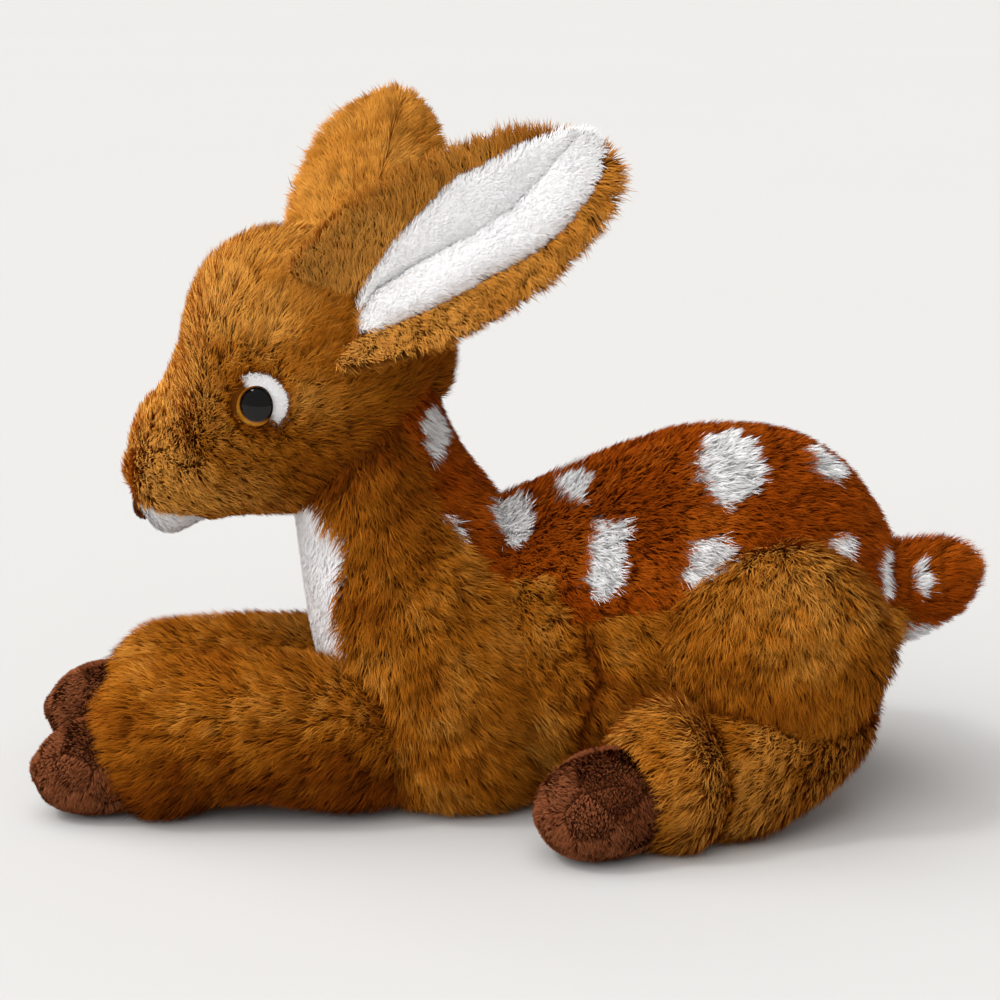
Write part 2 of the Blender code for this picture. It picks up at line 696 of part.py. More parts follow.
chin_panel = keep(copy_of(HEAD_SKIN), chin_region("chin_region", 0.0))
head_pieces.append(finish(chin_panel, "chin_panel", WHITE_PLUSH))
HEAD_SIDES = cut(HEAD_SKIN, chin_region("chin_region_grown", SEAM))
head_pieces += both_halves(HEAD_SIDES, "head_panel")
head_pieces.append(finish(HEAD_CORE, "head_stuffing", STUFFING))

# Ears: one curved leaf, thickened away from its face for the back and towards it for the lining


def ear_leaf(name, place, across_share, lift, thickness):
    """A cupped leaf in its own frame: X from root to tip, Y across, Z out of its face."""
    rows = through_ribs(EAR_RIB_SHARES)
    columns = EAR_COLUMN_SHARES
    sheet = bmesh.new()
    bmesh.ops.create_grid(sheet, x_segments=len(rows) - 1, y_segments=len(columns) - 1, size=1)
    sheet.verts.ensure_lookup_table()
    for vert in sheet.verts:
        row = rows[round((vert.co.x + 1) / 2 * (len(rows) - 1))]
        column = columns[round((vert.co.y + 1) / 2 * (len(columns) - 1))]
        along, half_width, cup = row
        side = column * across_share
        vert.co.x = along * EAR_LENGTH - EAR_ROOT
        vert.co.y = side * half_width * EAR_WIDTH
        vert.co.z = cup * EAR_CUP * side * side + lift
    mesh = bpy.data.meshes.new(name)
    sheet.to_mesh(mesh)
    sheet.free()
    leaf = guide(name, mesh)
    smooth = leaf.modifiers.new("smooth", "SUBSURF")
    smooth.levels = 1
    smooth.render_levels = 1
    thicken = leaf.modifiers.new("thicken", "SOLIDIFY")
    thicken.thickness = abs(thickness)
    thicken.offset = math.copysign(1.0, thickness)
    leaf.data = evaluated_mesh(leaf)
    leaf.modifiers.clear()
    leaf.data.transform(place)
    return leaf


def ear_place(root, aim, face):
    """An ear's frame: X along its aim, Z as near its face's direction as it can be."""
    along = aim.normalized()
    out = (face - face.dot(along) * along).normalized()
    across = out.cross(along)
    turn = Matrix((along, across, out)).transposed()
    return Matrix.Translation(root) @ turn.to_4x4()


EARS = (
    ("left", LEFT_EAR_AT, LEFT_EAR_AIM, LEFT_EAR_FACE),
    ("right", RIGHT_EAR_AT, RIGHT_EAR_AIM, RIGHT_EAR_FACE),
)
ear_pivots = []
for side_name, root, aim, face in EARS:
    place = ear_place(root, aim, face)
    hinge = place.to_3x3().col[1]
    back = ear_leaf("ear_back", place, 1.0, 0.0, -EAR_PLUSH)
    lining = ear_leaf("ear_lining", place, 1.0, CLEAR, LINING_PLUSH)
    trim = ear_leaf("lining_trim", place, LINING_WIDTH_SHARE, -LINING_DEPTH, LINING_DEPTH + LINING_DEPTH)
    trim.data.transform(place @ Matrix.Diagonal((LINING_LENGTH_SHARE, 1, 1, 1)) @ place.inverted())
    keep(lining, trim)
    around_root = sweep_of(HEAD_GROWN, root, hinge, EAR_RANGE)
    leaves = [
        finish(cut(back, *around_root), side_name + "_ear_back", TAWNY_PLUSH),
        finish(cut(lining, *around_root), side_name + "_ear_lining", WHITE_PLUSH),
    ]
    ear_pivots.append(hang_from(side_name + "_ear_pivot", root, leaves))
hang_from("neck_pivot", NECK_AT, head_pieces + ear_pivots)

# Limbs: a skin, its stuffing and a hoof cup on each


def limb(ribs, size, place, hoof_size, hoof_place, cutters):
    """A limb's skin, its stuffing and its hoof, cut by what the limb is sewn to."""
    skin = form("limb", ribs, size, place, LIMB_SIDES)
    grown = form("limb_grown", ribs, size, place, LIMB_SIDES, CLEAR)
    hollow = form("limb_hollow", ribs, size, place, LIMB_INNER_SIDES, -PLUSH)
    core = form("limb_core", ribs, size, place, LIMB_INNER_SIDES, -PLUSH - CLEAR)
    hoof = form("hoof", HOOF_RIB_SHARES, hoof_size, hoof_place, LIMB_SIDES)
    hoof_hollow = form("hoof_hollow", HOOF_RIB_SHARES, hoof_size, hoof_place, LIMB_INNER_SIDES, -HOOF_CLOTH)
    hoof_core = form("hoof_core", HOOF_RIB_SHARES, hoof_size, hoof_place, LIMB_INNER_SIDES, -HOOF_CLOTH - CLEAR)
    return (
        cut(skin, hollow, hoof_hollow, *cutters),
        cut(join(core, hoof_core), *cutters),
        cut(hoof, hoof_hollow, grown, FLOOR),
    )


def pair(name, pivot, pieces):
    """Names a left limb's pieces and adds the right limb, each hung from its joint."""
    opposite = Vector((pivot.x, -pivot.y, pivot.z))
    right = [finish(mirror_copy(shape), "right_" + ending, look) for shape, ending, look in pieces]
    left = [finish(shape, "left_" + ending, look) for shape, ending, look in pieces]
    hang_from("right_" + name + "_pivot", opposite, right)
    hang_from("left_" + name + "_pivot", pivot, left)


AROUND_SHOULDER = sweep_of(BODY_GROWN, FORELEG_PIVOT, "Y", FORELEG_RANGE)
foreleg_panel, foreleg_stuffing, forehoof = limb(
    FORELEG_RIB_SHARES,
    FORELEG_SIZE,
    Matrix.Translation(FORELEG_AT),
    FOREHOOF_SIZE,
    Matrix.Translation(FOREHOOF_AT - Vector((0.0, 0.0, FLAT_DEPTH))),
    (*AROUND_SHOULDER, FLOOR),
)
pair(
    "foreleg",
    FORELEG_PIVOT,
    (
        (foreleg_panel, "foreleg_panel", TAWNY_PLUSH),
        (foreleg_stuffing, "foreleg_stuffing", STUFFING),
        (forehoof, "fore_hoof", HOOF_PLUSH),
    ),
)

AROUND_HIP = sweep_of(BODY_GROWN, HIND_PIVOT, "Y", HIND_RANGE)
THIGH_PLACE = Matrix.Translation(THIGH_AT)
TURNED_OUT = Matrix.Rotation(FOOT_TURN, 4, "Z")
thigh_panel = form("thigh", THIGH_RIB_SHARES, THIGH_SIZE, THIGH_PLACE, LIMB_SIDES)
THIGH_GROWN = form("thigh_grown", THIGH_RIB_SHARES, THIGH_SIZE, THIGH_PLACE, LIMB_SIDES, CLEAR)
THIGH_HOLLOW = form("thigh_hollow", THIGH_RIB_SHARES, THIGH_SIZE, THIGH_PLACE, LIMB_INNER_SIDES, -PLUSH)
thigh_stuffing = form("thigh_core", THIGH_RIB_SHARES, THIGH_SIZE, THIGH_PLACE, LIMB_INNER_SIDES, -PLUSH - CLEAR)
cut(thigh_panel, THIGH_HOLLOW, *AROUND_HIP)
cut(thigh_stuffing, *AROUND_HIP)
foot_panel, foot_stuffing, hindhoof = limb(
    FOOT_RIB_SHARES,
    FOOT_SIZE,
    Matrix.Translation(FOOT_AT) @ TURNED_OUT,
    HINDHOOF_SIZE,
    Matrix.Translation(HINDHOOF_AT - Vector((0.0, 0.0, FLAT_DEPTH))) @ TURNED_OUT,
    (*AROUND_HIP, THIGH_GROWN, FLOOR),
)
pair(
    "hind_leg",
    HIND_PIVOT,
    (
        (thigh_panel, "thigh_panel", TAWNY_PLUSH),
        (thigh_stuffing, "thigh_stuffing", STUFFING),
        (foot_panel, "foot_panel", TAWNY_PLUSH),
        (foot_stuffing, "foot_stuffing", STUFFING),
        (hindhoof, "hind_hoof", HOOF_PLUSH),
    ),
)

# Tail: two panels round a little stuffing
TAIL_PLACE = Matrix.Translation(TAIL_AT)
TAIL_SWEEP = sweep_of(BODY_GROWN, TAIL_PIVOT, "Y", TAIL_RANGE)
TAIL_SPLIT = TAIL_AT.z + TAIL_SPLIT_SHARE * TAIL_SIZE.y
tail_skin = form("tail", TAIL_RIB_SHARES, TAIL_SIZE, TAIL_PLACE, LIMB_SIDES)
tail_hollow = form("tail_hollow", TAIL_RIB_SHARES, TAIL_SIZE, TAIL_PLACE, LIMB_INNER_SIDES, -PLUSH)
tail_core = form("tail_core", TAIL_RIB_SHARES, TAIL_SIZE, TAIL_PLACE, LIMB_INNER_SIDES, -PLUSH - CLEAR)
cut(tail_skin, tail_hollow, *TAIL_SWEEP)
above_tail = box("above_tail", (-REACH, -REACH, TAIL_SPLIT + SEAM), (REACH, REACH, REACH))
below_tail = box("below_tail", (-REACH, -REACH, -REACH), (REACH, REACH, TAIL_SPLIT))
tail_pieces = [
    finish(keep(copy_of(tail_skin), above_tail), "tail_top_panel", BACK_PLUSH),
    finish(keep(tail_skin, below_tail), "tail_underside_panel", WHITE_PLUSH),
    finish(cut(tail_core, *TAIL_SWEEP), "tail_stuffing", STUFFING),
]
hang_from("tail_pivot", TAIL_PIVOT, tail_pieces)
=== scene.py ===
"""A lying plush fawn: sewn plush panels over stuffing, with their pile combed strand by strand."""

import math

import bmesh
import bpy
import numpy as np
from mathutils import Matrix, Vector


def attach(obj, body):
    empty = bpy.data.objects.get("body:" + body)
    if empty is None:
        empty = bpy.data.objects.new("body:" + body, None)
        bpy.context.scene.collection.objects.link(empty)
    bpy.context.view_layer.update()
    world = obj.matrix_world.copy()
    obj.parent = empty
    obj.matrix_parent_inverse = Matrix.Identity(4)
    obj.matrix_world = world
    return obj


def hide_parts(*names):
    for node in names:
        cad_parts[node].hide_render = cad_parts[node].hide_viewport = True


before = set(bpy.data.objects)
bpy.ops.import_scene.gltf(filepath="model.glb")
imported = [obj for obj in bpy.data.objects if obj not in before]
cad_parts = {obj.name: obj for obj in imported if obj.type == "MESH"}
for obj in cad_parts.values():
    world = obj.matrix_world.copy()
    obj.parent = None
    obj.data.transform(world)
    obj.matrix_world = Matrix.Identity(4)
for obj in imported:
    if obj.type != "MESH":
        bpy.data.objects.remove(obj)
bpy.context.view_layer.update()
MM = 0.001

# --- Room and camera ---
# A seamless pale studio table in soft daylight from the upper left. The camera looks level across the fawn's
# left side from 13 degrees above, as the photograph does.

scene = bpy.context.scene
scene.view_settings.view_transform = "Standard"


def linear(colour):
    """sRGB hex to linear: under 0.04045 a straight line, above it a power of 2.4."""
    parts = [int(colour[at : at + 2], 16) / 255 for at in (1, 3, 5)]
    return [part / 12.92 if part < 0.04045 else ((part + 0.055) / 1.055) ** 2.4 for part in parts] + [1.0]


def new_material(name):
    """A node material: its tree and its shader."""
    look = bpy.data.materials.new(name)
    look.use_nodes = True
    return look, look.node_tree, look.node_tree.nodes["Principled BSDF"]


def add(tree, kind, links=(), **settings):
    """Add one node: keyword settings, socket values in `inputs`, then links as (socket, source socket)."""
    node = tree.nodes.new("ShaderNode" + kind)
    for key, value in settings.pop("inputs", {}).items():
        node.inputs[key].default_value = value
    for key, value in settings.items():
        setattr(node, key, value)
    for socket, source in links:
        tree.links.new(source, node.inputs[socket])
    return node


def toned(name, texture, tones, roughness, place=None, **inputs):
    """A material of one texture between two hex colours, laid out by a coordinate or by the object's box."""
    look, tree, shader = new_material(name)
    links = [(0, add(tree, "TexCoord").outputs[place])] if place else []
    grain = add(tree, texture, links, inputs=inputs)
    tone = add(tree, "ValToRGB", [(0, grain.outputs[0])])
    for element, colour in zip(tone.color_ramp.elements, tones):
        element.color = linear(colour)
    tree.links.new(tone.outputs[0], shader.inputs["Base Color"])
    shader.inputs["Roughness"].default_value = roughness
    return look, shader


FLOOR_HALF = 20.0
floor_mesh = bpy.data.meshes.new("studio_floor")
floor_corners = [(x * FLOOR_HALF, y * FLOOR_HALF, 0.0) for x, y in ((-1, -1), (1, -1), (1, 1), (-1, 1))]
floor_mesh.from_pydata(floor_corners, [], [(0, 1, 2, 3)])
floor = bpy.data.objects.new("studio_floor", floor_mesh)
scene.collection.objects.link(floor)
paper, paper_shader = toned(
    "matt_white_paper", "TexNoise", ("#CBCAC8", "#CDCCCA"), 0.9, Scale=60.0, Detail=3.0
)
paper_shader.inputs["Specular IOR Level"].default_value = 0.1
floor.data.materials.append(paper)

CAMERA_AIM = Vector((0.015, 0.0, 0.110))
CAMERA_HEIGHT = math.radians(13.0)
CAMERA_AWAY = 1.0
CAMERA_LENS = 96.5
camera = bpy.data.objects.new("camera", bpy.data.cameras.new("camera"))
camera.data.lens = CAMERA_LENS
camera.data.sensor_width = 36.0
camera.location = CAMERA_AIM + CAMERA_AWAY * Vector((0.0, -math.cos(CAMERA_HEIGHT), math.sin(CAMERA_HEIGHT)))
camera.rotation_euler = (CAMERA_AIM - camera.location).to_track_quat("-Z", "Y").to_euler()
scene.collection.objects.link(camera)
scene.camera = camera

# Each light: the direction it comes from, its strength and its width in degrees. Only the window is mirrored.
KEY_FROM = Vector((-0.54, -0.18, 0.81))
FILL_FROM = Vector((-0.35, -0.85, 0.38))
LIGHTS = {
    "skylight": (KEY_FROM, 2.95, 100.0),
    "window": (KEY_FROM, 0.6, 11.0),
    "soft_fill": (FILL_FROM, 0.7, 110.0),
}
ROOM_COLOUR, ROOM_STRENGTH = (1.0, 0.99, 0.985, 1.0), 0.44
for name, (comes_from, strength, width) in LIGHTS.items():
    light = bpy.data.objects.new(name, bpy.data.lights.new(name, "SUN"))
    light.data.energy = strength
    light.data.angle = math.radians(width)
    light.rotation_euler = comes_from.to_track_quat("Z", "Y").to_euler()
    light.visible_glossy = name == "window"
    scene.collection.objects.link(light)
world = bpy.data.worlds.new("studio")
world.use_nodes = True
world.node_tree.nodes["Background"].inputs[0].default_value = ROOM_COLOUR
world.node_tree.nodes["Background"].inputs[1].default_value = ROOM_STRENGTH
scene.world = world

# --- Body cloth ---
# The body is two stuffed forms that run into each other: the chest, which stands up into the neck, and the
# barrel. The warp-knitted backing of the plush is drawn over each form, and its pile is rooted in that cloth.

# A form has ribs of (x, z) at the top, (x, z) at the bottom and half width, as shares of its three sizes.
CHEST_SIZE = (100 * MM, 170 * MM, 108 * MM)
CHEST_RIBS = (
    (-0.20, -0.006, 0.24, -0.006, 0.24), (-0.37, 0.055, 0.37, 0.055, 0.41), (-0.46, 0.16, 0.44, 0.16, 0.48),
    (-0.52, 0.28, 0.45, 0.29, 0.495), (-0.565, 0.40, 0.39, 0.42, 0.475), (-0.59, 0.52, 0.26, 0.545, 0.43),
    (-0.61, 0.62, 0.10, 0.66, 0.375), (-0.615, 0.71, -0.035, 0.78, 0.345), (-0.54, 0.83, -0.10, 0.90, 0.30),
    (-0.40, 0.94, -0.09, 0.97, 0.18),
)
BARREL_SIZE = (165 * MM, 138 * MM, 110 * MM)
BARREL_RIBS = (
    (-0.03, 0.72, -0.03, 0.04, 0.27), (0.12, 0.80, 0.12, 0.00, 0.39), (0.28, 0.88, 0.28, 0.00, 0.45),
    (0.43, 0.95, 0.43, 0.00, 0.48), (0.57, 0.985, 0.56, 0.00, 0.49), (0.71, 0.975, 0.69, 0.02, 0.47),
    (0.83, 0.91, 0.80, 0.09, 0.40), (0.91, 0.80, 0.88, 0.23, 0.31), (0.965, 0.67, 0.945, 0.41, 0.18),
)
CAP_SHARE, CAP_BULGE = 0.07, 0.42
FLOOR_CLEAR = 0.3 * MM
BACKING_SINK = 0.3 * MM
MERGE_REACH = 0.005 * MM

# The cloth has the dye of its pile and is seen only as the shade between the strands.
DYES = ("#6E3A0C", "#5A2203", "#F4F2F0", "#3C1C0C")
TAWNY, RED_BROWN, WHITE, HOOF = 0, 1, 2, 3
knit, knit_tree, knit_shader = new_material("warp_knitted_polyester_backing")
knit_place = add(knit_tree, "TexCoord").outputs["Object"]
knit_noise = add(knit_tree, "TexNoise", [(0, knit_place)], inputs={"Scale": 900.0, "Detail": 2.0})
knit_dye = add(knit_tree, "Attribute", attribute_name="dye")
knit_tone = add(knit_tree, "HueSaturation", [(4, knit_dye.outputs["Color"])])
knit_value = add(knit_tree, "MapRange", [(0, knit_noise.outputs[0])], inputs={3: 0.85, 4: 1.15})
knit_tree.links.new(knit_value.outputs[0], knit_tone.inputs["Value"])
knit_tree.links.new(knit_tone.outputs[0], knit_shader.inputs["Base Color"])
knit_shader.inputs["Roughness"].default_value = 0.95
knit_shader.inputs["Specular IOR Level"].default_value = 0.05


def control_rows(ribs):
    """Control rows of a spline that runs through the ribs: 1, 4 and 1 sixths, solved along them."""
    weights = np.eye(len(ribs))
    for row in range(1, len(ribs) - 1):
        weights[row, row - 1 : row + 2] = (1 / 6, 4 / 6, 1 / 6)
    rows = np.linalg.solve(weights, ribs)
    return np.vstack((2 * rows[0] - rows[1], rows, 2 * rows[-1] - rows[-2]))


def stuffed_form(ribs, size, at=(0.0, 0.0, 0.0), turn=0.0):
    """A form's control rows in metres, its place, and its turn about the vertical as a matrix."""
    length, height, width = size
    rows = control_rows(np.array(ribs) * (length, height, length, height, width))
    cos, sin = math.cos(turn), math.sin(turn)
    return {"rows": rows, "at": np.array(at), "turn": np.array(((cos, sin, 0), (-sin, cos, 0), (0, 0, 1)))}


def rib_at(form, share):
    """The rib at a share of the form's length: the uniform cubic spline of its control rows."""
    rows = form["rows"]
    spans = len(rows) - 3
    place = np.clip(share, 0, 1) * spans
    span = np.minimum(place.astype(int), spans - 1)
    f = (place - span)[:, None]
    near = (1 - f) ** 3 * rows[span] + (3 * f**3 - 6 * f**2 + 4) * rows[span + 1]
    return (near + (-3 * f**3 + 3 * f**2 + 3 * f + 1) * rows[span + 2] + f**3 * rows[span + 3]) / 6


def form_skin(form):
    """The form as a surface of (u, v): each rib is an ellipse, v goes round it, and u runs from end to end.
    In the first and last CAP_SHARE of u the end rib shrinks with the cosine and bulges with the sine."""
    ends = rib_at(form, np.array((0.0, 0.02, 0.98, 1.0)))
    middles = (ends[:, 0:2] + ends[:, 2:4]) / 2
    rises = np.linalg.norm(ends[:, 0:2] - ends[:, 2:4], axis=1) / 2
    first, last = middles[0] - middles[1], middles[3] - middles[2]
    first *= CAP_BULGE * min(rises[0], ends[0, 4]) / np.linalg.norm(first)
    last *= CAP_BULGE * min(rises[3], ends[3, 4]) / np.linalg.norm(last)

    def surface(u, v):
        rib = rib_at(form, (u - CAP_SHARE) / (1 - 2 * CAP_SHARE))
        before = np.clip(1 - u / CAP_SHARE, 0, 1) * math.pi / 2
        after = np.clip((u - 1) / CAP_SHARE + 1, 0, 1) * math.pi / 2
        shrink = np.cos(before + after)
        middle = (rib[:, 0:2] + rib[:, 2:4]) / 2 + np.sin(before)[:, None] * first
        middle += np.sin(after)[:, None] * last
        rise = (rib[:, 0:2] - rib[:, 2:4]) / 2 * (shrink * np.cos(v * math.tau))[:, None]
        across = rib[:, 4] * shrink * np.sin(v * math.tau)
        local = np.stack((middle[:, 0] + rise[:, 0], across, middle[:, 1] + rise[:, 1]), axis=1)
        return local @ form["turn"] + form["at"]

    return surface


def inside(form, points, margin=0.0):
    """Whether points lie inside a form: between two of 64 rib lines, and within that rib's ellipse less a
    margin."""
    local = (points - form["at"]) @ form["turn"].T
    ribs = rib_at(form, np.linspace(0, 1, 64))
    line = ribs[:, 0:2] - ribs[:, 2:4]
    flat = local[:, (0, 2)]
    side = line[:, 0] * (flat[:, 1:2] - ribs[:, 3]) - line[:, 1] * (flat[:, 0:1] - ribs[:, 2])
    crossed = np.sign(side) != np.sign(side[:, :1])
    after = np.argmax(crossed, axis=1)
    found = crossed.any(axis=1)
    before = np.maximum(after - 1, 0)
    row = np.arange(len(points))
    share = side[row, before] / (side[row, before] - side[row, after] + 1e-12)
    rib = ribs[before] + (ribs[after] - ribs[before]) * share[:, None]
    middle = (rib[:, 0:2] + rib[:, 2:4]) / 2
    rise = np.linalg.norm(rib[:, 0:2] - rib[:, 2:4], axis=1) / 2
    up = np.linalg.norm(flat - middle, axis=1) / np.maximum(rise - margin, 1e-6)
    out = local[:, 1] / np.maximum(rib[:, 4] - margin, 1e-6)
    return found & (up**2 + out**2 < 1)


def normals_of(surface, u, v, step=1e-3):
    """Unit normals by central differences, turned so that they point away from the far side of the ring."""
    along = surface(np.minimum(u + step, 1), v) - surface(np.maximum(u - step, 0), v)
    around = surface(u, v + step) - surface(u, v - step)
    normal = np.cross(along, around)
    normal /= np.linalg.norm(normal, axis=1)[:, None] + 1e-12
    across = surface(u, v) - surface(u, v + 0.5)
    return normal * np.sign(np.sum(normal * across, axis=1).mean())


def put_mesh(name, points, faces, look):
    """A named object from whole arrays: points, and faces with the same number of corners each."""
    mesh = bpy.data.meshes.new(name)
    corners = faces.shape[1]
    mesh.vertices.add(len(points))
    mesh.vertices.foreach_set("co", np.ascontiguousarray(points, dtype=np.float32).ravel())
    mesh.loops.add(faces.size)
    mesh.loops.foreach_set("vertex_index", faces.astype(np.int32).ravel())
    mesh.polygons.add(len(faces))
    mesh.polygons.foreach_set("loop_start", np.arange(len(faces), dtype=np.int32) * corners)
    mesh.polygons.foreach_set("use_smooth", np.ones(len(faces), dtype=bool))
    mesh.update(calc_edges=True)
    mesh.validate()
    mesh.materials.append(look)
    piece = bpy.data.objects.new(name, mesh)
    scene.collection.objects.link(piece)
    return piece


def close_mesh(piece, outward=None):
    """Merge the points of each pole into one and turn the faces outwards: on an open mesh, the way given."""
    tidy = bmesh.new()
    tidy.from_mesh(piece.data)
    bmesh.ops.remove_doubles(tidy, verts=tidy.verts, dist=MERGE_REACH)
    bmesh.ops.recalc_face_normals(tidy, faces=tidy.faces)
    if outward is not None and sum(face.normal.dot(outward) for face in tidy.faces) < 0:
        bmesh.ops.reverse_faces(tidy, faces=tidy.faces)
    tidy.to_mesh(piece.data)
    tidy.free()


def wrapped_grid(surface, rows, columns, sink=0.0):
    """Points and faces of a closed tube-like surface: v wraps round, and each end closes on one pole. Sunk
    points move inwards and stay off the floor, and the ring at each pole is drawn to one point."""
    u, v = np.meshgrid(np.linspace(0, 1, rows), np.arange(columns) / columns, indexing="ij")
    u, v = u.ravel(), v.ravel()
    points = surface(u, v)
    if sink:
        points -= normals_of(surface, np.clip(u, 0.002, 0.998), v) * sink
        points[:, 2] = np.maximum(points[:, 2], FLOOR_CLEAR)
        for ring in (points[:columns], points[-columns:]):
            ring[:] = ring.mean(axis=0)
    index = np.arange(rows * columns).reshape(rows, columns)
    around = np.roll(index, -1, 1)
    return points, np.stack((index[:-1], index[1:], around[1:], around[:-1]), axis=-1).reshape(-1, 4)


def clothe(name, points, faces, body, dye):
    """Backing cloth over these points. It takes the dye of the pile above it, one for all of them or one for
    each, kept as the attribute that its material reads."""
    piece = put_mesh(name, points, faces, knit)
    colours = np.array([linear(colour) for colour in DYES])[np.broadcast_to(dye, len(points))]
    piece.data.attributes.new("dye", "FLOAT_COLOR", "POINT").data.foreach_set("color", colours.ravel())
    close_mesh(piece)
    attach(piece, body)


def backing(name, form, body, dye_at=None, rows=72, columns=72):
    """The cloth over a form, a hair inside the pile's roots; where it rests it is flat."""
    points, faces = wrapped_grid(form_skin(form), rows, columns, BACKING_SINK)
    clothe(name + "_backing", points, faces, body, dye_at(points) if dye_at else TAWNY)


CHEST = stuffed_form(CHEST_RIBS, CHEST_SIZE)
BARREL = stuffed_form(BARREL_RIBS, BARREL_SIZE)

# --- Body plush ---
# The flanks are long tawny pile, the back is a shorter red-brown pile with printed white spots, the belly is
# tawny and the bib white. All are knitted pile fabric, cut with the pile lying back and down, and sewn with
# it pulled out of the seams.

DENSITY_SHARE = 1.0
PILE_FLOOR = 0.4 * MM
SEGMENTS, LOCK, FILL = 2, 13 * MM, 0.8
TINT_END = 0.6


def hashed(cells, salt):
    """Even random numbers from 0 to 1, one for each whole-number cell: products and shifts of its bits."""
    mix = cells[..., 0] * 73856093 ^ cells[..., 1] * 19349663 ^ cells[..., 2] * 83492791 ^ salt * 2654435761
    mix = (mix & 0xFFFFFFFF) * 1274126177 & 0xFFFFFFFF
    mix = ((mix ^ mix >> 15) * 2246822519) & 0xFFFFFFFF
    return (mix ^ mix >> 13) / 2**32


def tuft_of(points, size, salt):
    """Each point's tuft: the nearest of one jittered centre per cube of this size, and that tuft's number."""
    cell = np.floor(points / size).astype(np.int64)
    steps = np.stack(np.meshgrid(*[(-1, 0, 1)] * 3, indexing="ij"), axis=-1).reshape(-1, 1, 3)
    cells = cell[None] + steps
    jitter = np.stack([hashed(cells, salt + axis) for axis in range(3)], axis=-1)
    centres = (cells + jitter) * size
    nearest = np.argmin(np.sum((centres - points[None]) ** 2, axis=-1), axis=0)
    row = np.arange(len(points))
    return centres[nearest, row], hashed(cells[nearest, row], salt + 7)


def drift(points, size, salt):
    """Smooth noise from 0 to 1: the corner numbers of a grid of cubes, blended by 3f2 - 2f3 on each axis."""
    place = points / size
    cell = np.floor(place).astype(np.int64)
    f = place - cell
    f = f * f * (3 - 2 * f)
    total = 0.0
    for corner in np.stack(np.meshgrid((0, 1), (0, 1), (0, 1), indexing="ij"), axis=-1).reshape(-1, 3):
        total = total + np.prod(np.where(corner, f, 1 - f), axis=1) * hashed(cell + corner, salt)
    return total


def scatter(surface, density, seed, lines=160, round_share=1.0):
    """Even random places on a surface, or on the first share of v only, so many to a square mm: the cells
    of a grid are drawn in proportion to their area."""
    u_lines, v_lines = np.linspace(0.0, 1.0, lines + 1), np.linspace(0.0, round_share, lines + 1)
    u, v = np.meshgrid(u_lines, v_lines, indexing="ij")
    grid = surface(u.ravel(), v.ravel()).reshape(lines + 1, lines + 1, 3)
    crossed = np.cross(grid[1:, 1:] - grid[:-1, :-1], grid[1:, :-1] - grid[:-1, 1:])
    area = np.linalg.norm(crossed, axis=-1).ravel() / 2
    total = np.cumsum(area)
    rng = np.random.default_rng(seed)
    count = int(total[-1] / MM**2 * density * DENSITY_SHARE)
    cell = np.minimum(np.searchsorted(total, rng.random(count) * total[-1]), len(area) - 1)
    u = u_lines[cell // lines] + rng.random(count) / lines
    v = v_lines[cell % lines] + rng.random(count) * round_share / lines
    return np.clip(u, 1e-4, 1 - 1e-4), v


def rooted(surface, density, seed, covered=()):
    """Strand roots on a surface and its normals, without those over 1 mm inside a neighbouring form."""
    u, v = scatter(surface, density, seed)
    points, normals = surface(u, v), normals_of(surface, u, v)
    open_air = points[:, 2] > -0.2 * MM
    for form in covered:
        open_air &= ~inside(form, points, 1.0 * MM)
    return points[open_air], normals[open_air]


def along_skin(direction, normals):
    """A direction less its part along the normals, made a unit length."""
    flat = direction - np.sum(direction * normals, axis=1)[:, None] * normals
    return flat / (np.linalg.norm(flat, axis=1)[:, None] + 1e-9)


def lay_out(piece, faces, uv):
    """A UV map by the name that the exporter keeps, from one (u, v) for each point."""
    layer = piece.data.uv_layers.new(name="OFBake")
    layer.data.foreach_set("uv", uv[faces.ravel()].astype(np.float32).ravel())


